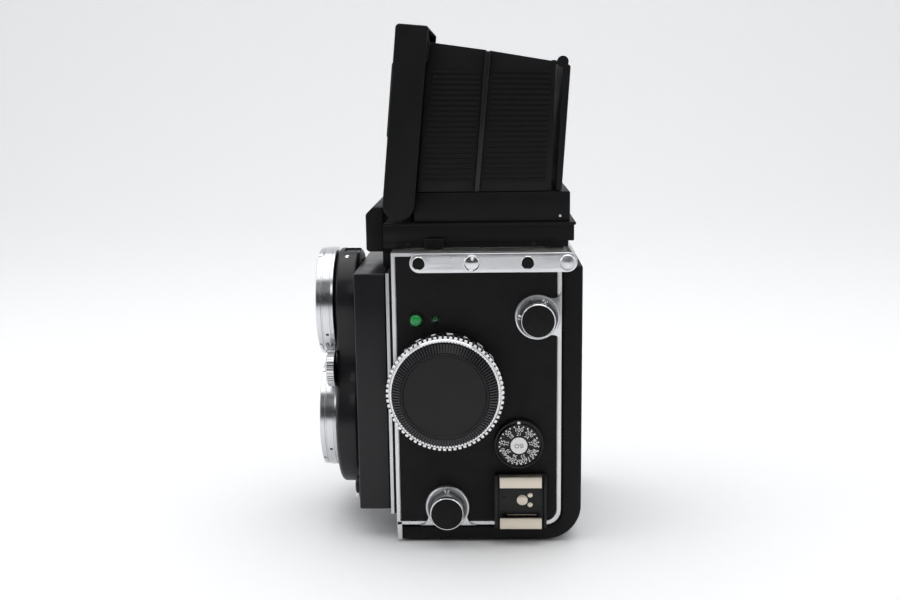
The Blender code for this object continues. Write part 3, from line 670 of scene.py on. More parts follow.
# ---------------------------------------------------------------- studio
@dataclass
class Studio:
    """Pale seamless floor, soft lights and the camera."""

    eye: tuple[float, float, float] = (455.6, 16.9, 177.4)
    down: float = 10.7
    aside: float = 2.05
    roll: float = -0.8
    focal: float = 44.0

    def build(self) -> None:
        """Make floor, backdrop, lights, world and camera."""
        self.floor()
        self.lights()
        self.world()
        self.camera()

    def floor(self) -> None:
        """Lay a floor that sweeps up into a backdrop."""
        paper = Finish("studio_paper", "#F4F4F4", "#F6F6F6", 0.0, 0.7, "", 0.02)
        sweep = [(3500.0, 0.0)] + arc((-900.0, 900.0), 900.0, 270, 180, 16) + [(-1800.0, 3200.0)]
        points = [Vector((u, side, v)) * MM for side in (-3500.0, 3500.0) for u, v in sweep]
        count = len(sweep)
        faces = [[k, k + 1, count + k + 1, count + k] for k in range(count - 1)]
        cove = fresh("studio_cove", points, [], faces)
        bpy.ops.object.shade_smooth()
        skin = paper.material()
        self.glow(skin)
        cove.data.materials.append(skin)

    def glow(self, skin: bpy.types.Material) -> None:
        """Let the paper behind the object glow like a lit backdrop.

        Args:
            skin: The paper's material.
        """
        tree = skin.node_tree
        shader = tree.nodes["Principled BSDF"]
        place = add_node(tree, "ShaderNodeTexCoord").outputs["Object"]
        parts = add_node(tree, "ShaderNodeSeparateXYZ", None, {"Vector": place})
        rise = add_node(
            tree,
            "ShaderNodeMapRange",
            {
                "interpolation_type": "SMOOTHSTEP", "in:From Min": 0.0, "in:From Max": -2.4,
                "in:To Min": 0.0, "in:To Max": 0.5,
            },
            {"Value": parts.outputs["X"]},
        )
        shader.inputs["Emission Color"].default_value = linear("#F8FAFC")
        tree.links.new(rise.outputs["Result"], shader.inputs["Emission Strength"])

    def lights(self) -> None:
        """Hang the soft boxes: one overhead, one each side and a weak front fill."""
        boxes = (
            ("overhead", (0, 0, 950), (0, 0, 60), 1200, 7.0),
            ("lens_side", (250, -950, 520), (0, 0, 90), 600, 1.6),
            ("back_side", (250, 950, 520), (0, 0, 90), 600, 1.0),
            ("front_fill", (1250, 100, 950), (0, 0, 80), 500, 1.3),
        )
        for name, place, aim, size, power in boxes:
            lamp = bpy.data.lights.new(name, "AREA")
            lamp.shape = "SQUARE"
            lamp.size = size * MM
            lamp.energy = power
            holder = bpy.data.objects.new(name, lamp)
            bpy.context.collection.objects.link(holder)
            holder.location = Vector(place) * MM
            holder.rotation_euler = (Vector(aim) - Vector(place)).to_track_quat("-Z", "Y").to_euler()

    def world(self) -> None:
        """Light the room: white behind and above, dim on the camera's side."""
        room = bpy.data.worlds.new("studio_room")
        room.use_nodes = True
        tree = room.node_tree
        back = tree.nodes["Background"]
        heading = add_node(tree, "ShaderNodeTexCoord").outputs["Generated"]
        parts = add_node(tree, "ShaderNodeSeparateXYZ", None, {"Vector": heading})
        dim = add_node(
            tree,
            "ShaderNodeMapRange",
            {
                "interpolation_type": "SMOOTHSTEP", "in:From Min": -0.1, "in:From Max": 0.75,
                "in:To Min": 0.90, "in:To Max": 0.045,
            },
            {"Value": parts.outputs["X"]},
        )
        back.inputs["Color"].default_value = linear("#F6F8FB")
        tree.links.new(dim.outputs["Result"], back.inputs["Strength"])
        bpy.context.scene.world = room

    def camera(self) -> None:
        """Set the camera at eye level with the hood, a little above the body."""
        lens = bpy.data.cameras.new("view")
        lens.sensor_width = 36.0
        lens.lens = self.focal
        lens.clip_start = 0.01
        holder = bpy.data.objects.new("view", lens)
        bpy.context.collection.objects.link(holder)
        pitch, yaw = math.radians(self.down), math.radians(self.aside)
        ahead = Vector((
            -math.cos(pitch) * math.cos(yaw), -math.cos(pitch) * math.sin(yaw), -math.sin(pitch),
        ))
        facing = ahead.to_track_quat("-Z", "Y").to_matrix().to_4x4()
        facing = facing @ Matrix.Rotation(math.radians(self.roll), 4, "Z")
        holder.matrix_world = Matrix.Translation(Vector(self.eye) * MM) @ facing
        bpy.context.scene.camera = holder


# ------------------------------------------------------------------ body
@dataclass
class Shell:
    """Casting, coverings, bright frames, nose and focusing screen."""

    nodes: dict[str, bpy.types.Object]

    def build(self) -> None:
        """Dress the casting and model what is fixed to it."""
        dress_node(self.nodes, "body_casting", CAST_ALLOY)
        for side in ("left", "right"):
            dress_node(self.nodes, f"cover_{side}", LEATHERETTE)
            dress_node(self.nodes, f"frame_{side}", SATIN_CHROME)
            self.corner_post(side)
        dress_node(self.nodes, "mirror", SILVERED)
        dress_node(self.nodes, "focusing_screen", SCREEN_GLASS)
        for name in ("roller_low", "roller_top"):
            dress_node(self.nodes, name, ROLLER_STEEL)
        self.nose()
        self.spools()

    def corner_post(self, side: str) -> None:
        """Carry the frame's front bar down past the door's wing.

        Args:
            side: "left" or "right".
        """
        low, high = corners(f"frame_{side}")
        sign = 1 if high.x > 0 else -1
        outer = sign * max(abs(low.x), abs(high.x))
        foot = [
            (low.y + 0.1, low.z + 1.2), (low.y + 0.1, 1.6), (low.y + 0.5, 1.2), (low.y + 2.0, 1.2),
            (low.y + 2.0, low.z + 1.2),
        ]
        post = extruded(f"corner_post_{side}", foot, "x", (sign * 39.7, outer), 0.12, 2)
        dress(post, SATIN_CHROME, "body")

    def nose(self) -> None:
        """Model the nose block with its chamfered top and soft edges."""
        low, high = corners("nose_block")
        outline = [
            (low.y, 116.6),
            (low.y + 0.8, 115.8),
            (high.y, 115.8),
            (high.y, 117.2),
            (-24.3, 117.2),
            (-24.3, high.z),
            (low.y + 2.8, high.z),
            (low.y, high.z - 2.8),
        ]
        nose = extruded("nose", outline, "x", (low.x, high.x), 0.7, 3)
        foot = block("nose_foot", (low.x + 0.4, high.x - 0.4), (-24.8, high.y - 0.1), (low.z, 116.6), 0.0)
        fuse(nose, foot)
        dress(ease(nose, 0.0), MATT_LACQUER, "body", "nose_block")

    def spools(self) -> None:
        """Turn the two film spools with their slotted flanges."""
        for node, body in (("supply_spool", "supply"), ("take_up_spool", "take_up")):
            low, high = corners(node)
            mid = (low + high) / 2
            rim = (high.z - low.z) / 2
            profile = [
                (2.6, low.x),
                (rim, low.x),
                (rim, low.x + 0.8),
                (6.2, low.x + 1.1),
                (6.0, low.x + 2.0),
                (6.0, high.x - 2.0),
                (6.2, high.x - 1.1),
                (rim, high.x - 0.8),
                (rim, high.x),
                (2.6, high.x),
            ]
            spool = turned(f"{node}_core", profile, "x", (mid.y, mid.z), 48)
            slot = block("slot", (-24, 24), (mid.y - 0.5, mid.y + 0.5), (mid.z + 3, mid.z + 8), 0.0)
            dress(ease(carve(spool, slot), 0.0), SPOOL_PLASTIC, body, node)


@dataclass
class StrapPlates:
    """The bright bar on each side, with its studs and inlays."""

    disc_y: tuple[float, float] = (-9.7, 31.8)
    stud_y: float = 10.6
    end_y: float = 46.9
    lines: tuple[Span, ...] = ((-4.6, 5.0), (16.6, 27.4), (37.4, 42.2))

    def build(self) -> None:
        """Model both bars."""
        for side, sign in (("left", 1), ("right", -1)):
            self.bar(side, sign)

    def bar(self, side: str, sign: int) -> None:
        """Model one bar with engraved lines, two inlays, a stud and an end boss.

        Args:
            side: "left" or "right".
            sign: 1 for +X, -1 for -X.
        """
        low, high = corners(f"strap_plate_{side}")
        mid_z = (low.z + high.z) / 2
        back, face = sign * 40.6, sign * 42.6
        outline = rounded_bar((low.y, high.y), (low.z, high.z), (high.z - low.z) / 2 - 0.05, 14)
        bar = extruded(f"strap_bar_{side}", outline, "x", (back, face), 0.35, 3)
        grooves = []
        for start, stop in self.lines:
            for rise in (-1.9, 0.0, 1.9):
                spans = ((mid_z + rise - 0.1, mid_z + rise + 0.1), (face - sign * 0.12, face + sign * 0.5))
                groove = block("groove", tuple(sorted(spans[1])), (start, stop), spans[0], 0.0)
                grooves.append(groove)
        carve(bar, gather("grooves", grooves))
        dress(ease(bar, 0.0), BRUSHED_BAR, "body", f"strap_plate_{side}")
        for k, y in enumerate(self.disc_y):
            ring = [(2.2, face - sign * 0.3), (2.6, face - sign * 0.3), (2.6, face + sign * 0.25)]
            ring += [(2.45, face + sign * 0.45), (2.3, face + sign * 0.4), (2.2, face + sign * 0.2)]
            dress(turned(f"inlay_ring_{side}_{k}", ring, "x", (y, mid_z), 40), POLISHED_CHROME, "body")
            pad = [
                (0, face - sign * 0.2), (2.3, face - sign * 0.2), (2.3, face + sign * 0.22),
                (0, face + sign * 0.3),
            ]
            dress(turned(f"inlay_pad_{side}_{k}", pad, "x", (y, mid_z), 32), LEATHERETTE, "body")
        stud = [
            (0, face - sign * 0.3), (3.3, face - sign * 0.3), (3.3, face + sign * 0.3),
            (3.0, face + sign * 0.5),
        ]
        stud += [(2.6, face + sign * 0.35), (1.0, face + sign * 1.15), (0, face + sign * 1.2)]
        dress(turned(f"strap_stud_{side}", stud, "x", (self.stud_y, mid_z), 48), RING_CHROME, "body")
        boss = [
            (0, face - sign * 0.3), (3.1, face - sign * 0.3), (3.1, face + sign * 0.5),
            (2.8, face + sign * 0.8),
        ]
        boss += [(2.4, face + sign * 0.75), (0.9, face + sign * 1.35), (0, face + sign * 1.4)]
        dress(turned(f"end_boss_{side}", boss, "x", (self.end_y, mid_z), 48), SATIN_CHROME, "body")


@dataclass
class BackDoor:
    """The L-shaped back door with its feet, latch and pressure plate."""

    nodes: dict[str, bpy.types.Object]

    def build(self) -> None:
        """Model the leatherette shell, the feet and the latch."""
        low, high = corners("back_door")
        base, back, top = 1.0, high.y, 111.7
        front = low.y
        outline = [(front, base)] + arc((back - 14.0, base + 14.0), 14.0, -90, 0, 28)
        outline += [(back, top), (45.4, top)] + arc((39.0, 13.1), 6.4, 0, -90, 16) + [(front, 6.7)]
        door = extruded("door_shell", outline, "x", (low.x, high.x), 0.9, 3)
        back_room = block("back_room", (-36.5, 36.5), (40.0, 51.0), (16.0, 108.0), 0.0)
        floor_room = block("floor_room", (-36.5, 36.5), (-16.0, 36.0), (3.4, 8.0), 0.0)
        bush = turned("bush_hole", [(0, -1.0), (5.3, -1.0), (5.3, 5.0), (0, 5.0)], "z", (0, 14.0), 32)
        carve(door, back_room, floor_room, bush)
        dress(ease(door, 0.0), LEATHERETTE, "door", "back_door")
        knuckle = turned(
            "door_knuckle", [(0, -14.0), (1.9, -14.0), (1.9, 14.0), (0, 14.0)], "x", (49.3, 113.9), 28,
        )
        tab = block("knuckle_tab", (-13.9, 13.9), (47.6, 51.0), (110.9, 113.9), 0.0)
        dress(ease(fuse(knuckle, tab), 0.0), SATIN_CHROME, "door")
        for k, (x, y) in enumerate(((31.0, -8.0), (31.0, 37.6), (-31.0, -8.0), (-31.0, 37.6))):
            foot = [(0, 0.0), (3.3, 0.0), (3.9, 0.25), (4.3, 0.8), (4.3, 1.3), (0, 1.3)]
            dress(turned(f"foot_{k}", foot, "z", (x, y), 36), POLISHED_CHROME, "door")
        latch_low, latch_high = corners("door_latch")
        pin = (latch_low.y + 1.3, latch_high.z - 1.3)
        lever = arc(pin, 1.3, -40, 220, 26)
        lever += [
            (lever[-1][0], 2.6), (lever[-1][0] + 0.6, latch_low.z), (lever[0][0], latch_low.z),
            (lever[0][0] + 0.1, 5.0),
        ]
        dress(
            extruded("door_latch_lever", lever, "x", (-9.2, 9.2), 0.3, 2, 50), POLISHED_CHROME, "latch",
            "door_latch",
        )
        dress_node(self.nodes, "pressure_plate", INNER_BLACK)
        dress_node(self.nodes, "tripod_bush", SATIN_CHROME)


# ---------------------------------------------------------- side controls
@dataclass
class FocusKnob:
    """Focus knob: scale skirt, toothed ring and ribbed battery cap."""

    teeth: int = 70
    ribs: int = 108

    def build(self, nodes: dict[str, bpy.types.Object]) -> None:
        """Model the knob's parts round the focus axis."""
        mid = centre("focus_knob")
        hub = (mid.y, mid.z)
        low, high = corners("focus_knob")
        rim = (high.z - low.z) / 2
        ring = extruded(
            "knob_teeth", toothed_ring(hub, rim, rim - 0.95, self.teeth, 0.6), "x", (46.7, 50.6), 0.1, 1,
            60,
        )
        dress(ring, POLISHED_CHROME, "focus", "focus_knob")
        front = [(20.5, 49.6), (rim - 1.0, 49.6), (rim - 1.0, 50.9), (rim - 1.4, 51.4), (20.5, 51.4)]
        dress(turned("knob_front_ring", front, "x", hub, 96), POLISHED_CHROME, "focus")
        back = [(20.0, 46.0), (rim - 0.6, 46.0), (rim - 0.25, 46.3), (rim - 0.25, 46.8), (20.0, 46.8)]
        dress(turned("knob_back_ring", back, "x", hub, 96), POLISHED_CHROME, "focus")
        floor = [(0, 45.6), (21.4, 45.6), (21.4, 51.3), (20.4, 51.3), (20.4, 51.5), (0, 51.5)]
        dress(turned("knob_drum", floor, "x", hub, 80), BLACK_ABS, "focus")
        skirt = [(9.2, 40.7), (22.0, 40.7), (22.2, 41.0), (21.6, 45.9), (9.2, 45.9)]
        dress(turned("scale_skirt", skirt, "x", hub, 96), BLACK_ABS, "focus")
        sleeve = [(7.2, 26.0), (9.2, 26.0), (9.2, 41.0), (7.2, 41.0)]
        dress(turned("battery_sleeve", sleeve, "x", hub, 48), CAN_STEEL, "focus")
        self.scale(hub)
        self.cap(hub)
        dress_node(nodes, "battery", CAN_STEEL)

    def scale(self, hub: Point) -> None:
        """Print the distance marks round the skirt."""
        marks = []
        widths = (2.3, 1.4, 2.6, 2.4, 1.2, 2.2, 1.6)
        for k in range(22):
            turn = math.radians(200 - k * 16.4)
            radius, width = 22.05, widths[k % len(widths)]
            mark = block(
                "mark", (42.4, 44.0), (hub[0] - width / 2, hub[0] + width / 2),
                (hub[1] + radius - 0.5, hub[1] + radius + 0.08), 0.0,
            )
            hub_at = Matrix.Translation(point("x", hub[0], hub[1], 0))
            mark.data.transform(hub_at @ Matrix.Rotation(turn - math.pi / 2, 4, "X") @ hub_at.inverted())
            marks.append(mark)
        dress(gather("distance_marks", marks), WHITE_INK, "focus")

    def cap(self, hub: Point) -> None:
        """Model the battery cap: ribbed cone, raised ring and flat middle."""
        low, high = corners("battery_cap")
        rim = (high.z - low.z) / 2
        profile = [
            (0, low.x), (rim - 0.5, low.x), (rim - 0.5, low.x + 0.5), (17.0, high.x - 0.7), (16.8, high.x),
        ]
        profile += [(16.1, high.x), (15.7, high.x - 0.6), (0, high.x - 0.55)]
        dress(turned("cap_body", profile, "x", hub, 96, 0.0), BLACK_ABS, "cap", "battery_cap")
        slope = [(high.x - 0.6, 16.8), (low.x + 0.2, rim - 0.3), (low.x + 1.3, rim), (high.x - 0.02, 17.1)]
        base = [(x, hub[1] + r) for x, r in slope]
        points = [Vector((x, hub[0] + side * 0.24, z)) * MM for side in (-1, 1) for x, z in base]
        faces = [[0, 1, 2, 3], [7, 6, 5, 4], [0, 4, 5, 1], [1, 5, 6, 2], [2, 6, 7, 3], [3, 7, 4, 0]]
        rib = fresh("rib", points, [], faces)
        ribs = gather("cap_ribs", round_copies(rib, self.ribs, "x", hub))
        hold(ribs)
        bpy.ops.object.mode_set(mode="EDIT")
        bpy.ops.mesh.select_all(action="SELECT")
        bpy.ops.mesh.normals_make_consistent(inside=False)
        bpy.ops.object.mode_set(mode="OBJECT")
        dress(ribs, WORN_ABS, "cap")


@dataclass
class SpeedDial:
    """Film speed dial with its dots, numbers and white middle."""

    speeds: tuple[str, ...] = ("100", "200", "400", "800", "1600", "3200", "6400", "25", "50")
    degrees: tuple[str, ...] = ("21", "24", "27", "30", "33", "36", "39", "15", "18")

    def build(self) -> None:
        """Model the ring, the dial and its print."""
        mid = centre("iso_ring")
        hub = (mid.y, mid.z)
        low, high = corners("iso_ring")
        rim = (high.z - low.z) / 2
        ring = [
            (0, low.x), (rim, low.x), (rim, high.x - 0.6), (rim - 0.4, high.x), (rim - 1.0, high.x),
            (rim - 1.1, SIDE + 1.3), (0, SIDE + 1.3),
        ]
        dress(turned("dial_ring", ring, "x", hub, 72), BLACK_ABS, "body", "iso_ring")
        dot = turned(
            "dial_index",
            [(0, high.x - 0.1), (0.62, high.x - 0.1), (0.62, high.x + 0.12), (0, high.x + 0.15)], "x",
            (hub[0], hub[1] + rim - 0.95), 20,
        )
        dress(dot, WHITE_INK, "body")
        face = [(0, SIDE + 1.5), (8.5, SIDE + 1.5), (8.5, SIDE + 3.0), (8.2, SIDE + 3.35), (0, SIDE + 3.35)]
        dress(turned("dial_face", face, "x", hub, 72), BLACK_ABS, "iso", "iso_dial")
        middle = [
            (0, SIDE + 3.2), (3.3, SIDE + 3.2), (3.3, SIDE + 3.65), (3.15, SIDE + 3.78), (0, SIDE + 3.78),
        ]
        dress(turned("dial_middle", middle, "x", hub, 48), WHITE_INK, "iso")
        dots = []
        for k in range(25):
            turn = math.radians(90 - (k - 8) * 13.34)
            spot = (hub[0] + 7.65 * math.cos(turn), hub[1] + 7.65 * math.sin(turn))
            dots.append(turned(
                "dot", [(0, SIDE + 3.3), (0.31, SIDE + 3.3), (0.31, SIDE + 3.4), (0, SIDE + 3.4)], "x",
                spot, 10,
            ))
        dress(gather("dial_dots", dots), WHITE_INK, "iso")
        numbers = []
        for k, (speed, degree) in enumerate(zip(self.speeds, self.degrees)):
            turn = -40.0 * k
            for words, radius, size in ((speed, 6.3, 1.75), (degree, 4.6, 1.4)):
                ahead = math.radians(90 + turn)
                at = (hub[0] + radius * math.cos(ahead), hub[1] + radius * math.sin(ahead))
                numbers.append(lettering(
                    "number", words, size, side_text_place(SIDE + 3.38, at[0], at[1], turn),
                ))
        dress(gather("dial_numbers", numbers), WHITE_INK, "iso")
        sign = lettering("dial_sign", "ISO", 1.75, side_text_place(SIDE + 3.79, hub[0], hub[1], 184))
        dress(sign, GREY_MARK, "iso")


@dataclass
class FlashShoe:
    """Flash shoe: black bed, plated rails, contacts, screw and spring."""

    def build(self) -> None:
        """Model the shoe."""
        low, high = corners("shoe_base")
        spot = centre("shoe_contact")
        bed = block("shoe_bed", (low.x, high.x - 0.1), (low.y, high.y), (low.z, high.z), 0.35, 3)
        rim_a = block(
            "shoe_wall_front", (SIDE + 1.8, SIDE + 3.4), (low.y, low.y + 1.5), (low.z, high.z), 0.25,
        )
        rim_b = block(
            "shoe_wall_back", (SIDE + 1.8, SIDE + 3.4), (high.y - 1.1, high.y), (low.z, high.z), 0.25,
        )
        dress(bed, BLACK_ABS, "body", "shoe_base")
        dress(rim_a, BLACK_ABS, "body")
        dress(rim_b, BLACK_ABS, "body")
        for tag, side in (("top", 1), ("low", -1)):
            box_low, box_high = corners(f"shoe_rail_{tag}")
            edge = box_high.z if side > 0 else box_low.z
            lip = box_low.z if side > 0 else box_high.z
            inner = edge - side * 1.5
            outline = [
                (SIDE + 2.3, edge), (box_high.x, edge), (box_high.x, lip), (SIDE + 4.1, lip), (
                    SIDE + 4.1, inner,
                ),
                (SIDE + 2.3, inner),
            ]
            span = (box_low.y + 0.5, box_high.y - 0.8)
            rail = extruded(f"shoe_rail_{tag}_plate", outline, "y", span, 0.18)
            dress(rail, PALE_GOLD, "body", f"shoe_rail_{tag}")
        pin = [
            (0, SIDE + 1.9), (2.15, SIDE + 1.9), (2.15, SIDE + 2.25), (1.95, SIDE + 2.35), (0, SIDE + 2.4),
        ]
        dress(turned("shoe_pin", pin, "x", (spot.y, spot.z), 36), PALE_GOLD, "body", "shoe_contact")
        for k, side in enumerate((-1, 1)):
            small = [
                (0, SIDE + 1.8), (1.0, SIDE + 1.8), (1.0, SIDE + 2.15), (0.8, SIDE + 2.25),
                (0, SIDE + 2.25),
            ]
            dress(
                turned(f"shoe_side_pin_{k}", small, "x", (spot.y + 3.1, spot.z + side * 2.0), 24),
                PALE_GOLD, "body",
            )
        screw = [
            (0.5, SIDE + 1.8), (1.3, SIDE + 1.8), (1.3, SIDE + 2.05), (1.1, SIDE + 2.15),
            (0.5, SIDE + 2.1),
        ]
        dress(turned("shoe_screw", screw, "x", (spot.y - 7.0, spot.z), 20), BLACK_ENAMEL, "body")
        leaf = block(
            "shoe_spring", (SIDE + 2.2, SIDE + 2.6), (
                spot.y - 6.0, spot.y + 5.6,
            ), (low.z + 5.0, low.z + 5.3), 0.05,
        )
        dress(leaf, PALE_GOLD, "body")


@dataclass
class SmallControls:
    """Meter button and indicator lamp."""

    def build(self) -> None:
        """Model the button, its bezel, the lamp, and a raised black ring round the lamp whose black is
        painted shade.
        """
        button = centre("meter_button")
        hub = (button.y, button.z)
        bezel = [
            (2.4, SIDE + 0.05), (3.0, SIDE + 0.05), (3.0, SIDE + 0.5), (2.8, SIDE + 1.0),
            (2.5, SIDE + 1.1), (2.4, SIDE + 0.8),
        ]
        dress(turned("meter_bezel", bezel, "x", hub, 40), BLACK_ABS, "body", "button_bezel")
        cap = [
            (0, SIDE - 2.0), (2.15, SIDE - 2.0), (2.15, SIDE + 1.6), (2.05, SIDE + 1.95),
            (1.75, SIDE + 2.2), (1.2, SIDE + 2.35), (0, SIDE + 2.4),
        ]
        dress(turned("meter_button_cap", cap, "x", hub, 40), GREEN_ACRYLIC, "meter", "meter_button")
        lamp = centre("indicator_lamp")
        dome = [
            (0, SIDE + 0.1), (1.35, SIDE + 0.1), (1.3, SIDE + 0.5), (1.0, SIDE + 0.95), (0.5, SIDE + 1.15),
            (0, SIDE + 1.2),
        ]
        dress(turned("lamp_dome", dome, "x", (lamp.y, lamp.z), 32), LAMP_ACRYLIC, "body", "indicator_lamp")
        # Raised black ring round the lamp's dome: its black is painted shade, standing in for the shadow
        # ring round the lamp.
        rim = [(1.35, SIDE + 0.05), (1.9, SIDE + 0.05), (1.85, SIDE + 0.35), (1.4, SIDE + 0.5)]
        dress(turned("lamp_painted_shadow_ring", rim, "x", (lamp.y, lamp.z), 32), BLACK_ABS, "body")


@dataclass
class SpoolKnobs:
    """Pull-out spool knobs on bases that grow out of the bright frame."""

    edge_y: float = 44.8
    edge_z: float = 7.6
    fillet: float = 3.4

    def build(self) -> None:
        """Model both bases and knobs."""
        for tag in ("upper", "lower"):
            mid = centre(f"spool_base_{tag}")
            self.base(tag, (mid.y, mid.z))
            self.knob(tag, (mid.y, mid.z))

    def base(self, tag: str, hub: Point) -> None:
        """Model a dished round base that runs into the frame with fillets.

        Args:
            tag: "upper" or "lower".
            hub: The knob's axis.
        """
        low, high = corners(f"spool_base_{tag}")
        rim = (high.z - low.z) / 2
        reach = (self.edge_y - hub[0]) if tag == "upper" else (hub[1] - self.edge_z)
        offset = math.sqrt((rim + self.fillet) ** 2 - (reach - self.fillet) ** 2)
        meet = math.degrees(math.atan2(offset, reach - self.fillet))
        web = arc((reach - self.fillet, offset), self.fillet, 180 + meet, 360, 10)
        mirrored = [(u, -v) for u, v in reversed(web)]
        outline = mirrored + [(0.0, -1.0), (0.0, 1.0)] + web
        if tag == "upper":
            placed = [(hub[0] + u, hub[1] + v) for u, v in outline]
        else:
            placed = [(hub[0] + v, hub[1] - u) for u, v in outline]
        web_piece = extruded(f"spool_web_{tag}", placed, "x", (SIDE + 0.1, SIDE + 1.2), 0.15, 2)
        dress(web_piece, SATIN_CHROME, "body")
        dish = [
            (2.3, SIDE + 0.1), (rim, SIDE + 0.1), (rim, SIDE + 2.5), (
                rim - 0.25, SIDE + 2.85,
            ), (rim - 0.7, SIDE + 2.95),
            (rim - 1.6, SIDE + 2.3), (5.4, SIDE + 1.6), (2.3, SIDE + 1.6),
        ]
        dress(turned(f"spool_dish_{tag}", dish, "x", hub, 72), SATIN_CHROME, "body", f"spool_base_{tag}")
        spots = ((2.9, 6.6), (-7.2, 0.2)) if tag == "upper" else ((-0.2, 6.9),)
        for k, (dy, dz) in enumerate(spots):
            head = [
                (0.35, SIDE + 2.0), (1.05, SIDE + 2.0), (1.05, SIDE + 2.45), (0.8, SIDE + 2.6),
                (0.35, SIDE + 2.45),
            ]
            screw = turned(f"spool_screw_{tag}_{k}", head, "x", (hub[0] + dy, hub[1] + dz), 20)
            dress(screw, POLISHED_CHROME, "body")

    def knob(self, tag: str, hub: Point) -> None:
        """Model a knob: bright cup with a grained black inlay."""
        low, high = corners(f"spool_knob_{tag}")
        rim = (high.z - low.z) / 2
        cup = [
            (0, low.x), (2.1, low.x), (2.1, SIDE + 3.6), (rim - 0.2, SIDE + 3.6), (rim, SIDE + 3.9),
            (rim, high.x - 0.3),
        ]
        cup += [(rim - 0.2, high.x), (rim - 0.4, high.x), (rim - 0.45, high.x - 0.6), (0, high.x - 0.6)]
        dress(
            turned(f"knob_cup_{tag}", cup, "x", hub, 64), POLISHED_CHROME, f"{tag}_knob",
            f"spool_knob_{tag}",
        )
        inlay = [
            (0, high.x - 0.7), (rim - 0.45, high.x - 0.7), (rim - 0.5, high.x - 0.2),
            (rim - 0.8, high.x - 0.08), (0, high.x - 0.05),
        ]
        dress(turned(f"knob_inlay_{tag}", inlay, "x", hub, 48), LEATHERETTE, f"{tag}_knob")


@dataclass
class Crank:
    """Film crank on the far side with its folding handle, and the counter window."""

    def build(self) -> None:
        """Model the crank."""
        mid = centre("crank_base")
        hub = (mid.y, mid.z)
        low, high = corners("crank_base")
        rim = (high.z - low.z) / 2
        plate = [
            (0, high.x), (rim, high.x), (rim, low.x + 0.7), (rim - 0.5, low.x), (rim - 2.6, low.x),
            (rim - 2.9, low.x + 0.5), (0, low.x + 0.5),
        ]
        dress(turned("crank_plate", plate, "x", hub, 72), SATIN_CHROME, "body", "crank_base")
        arm_low, arm_high = corners("crank_arm")
        end_z = arm_low.z + 3.6
        round_top = arc(hub, 9.0, -52, 232, 40)
        round_end = arc((hub[0], end_z), 3.6, 186, 354, 20)
        blade = extruded("crank_blade", round_top + round_end, "x", (arm_low.x, arm_high.x), 0.5, 3)
        dress(blade, SATIN_CHROME, "crank", "crank_arm")
        nut = [
            (0, arm_low.x - 0.6), (2.2, arm_low.x - 0.6), (2.7, arm_low.x - 0.2), (2.7, arm_low.x + 0.3),
            (0, arm_low.x + 0.3),
        ]
        dress(turned("crank_nut", nut, "x", hub, 32), POLISHED_CHROME, "crank")
        knob_low, knob_high = corners("crank_handle")
        mid_knob = centre("crank_handle")
        grip = [
            (0, knob_high.x), (3.0, knob_high.x), (3.4, knob_high.x - 0.3), (3.3, -49.0), (3.9, -52.0),
            (4.3, -53.4), (4.0, -54.2), (3.2, knob_low.x), (0, knob_low.x),
        ]
        dress(
            turned("crank_grip", grip, "x", (mid_knob.y, mid_knob.z), 48), BLACK_ABS, "handle",
            "crank_handle",
        )
        window = centre("counter_window")
        bezel = [(2.6, -40.1), (3.4, -40.1), (3.4, -41.3), (3.1, -41.6), (2.6, -41.3)]
        dress(turned("counter_bezel", bezel, "x", (window.y, window.z), 40), POLISHED_CHROME, "body")
        glass = [(0, -40.4), (2.6, -40.4), (2.6, -41.0), (0, -41.4)]
        dress(
            turned("counter_glass", glass, "x", (window.y, window.z), 32), CLEAR_GLASS, "body",
            "counter_window",
        )


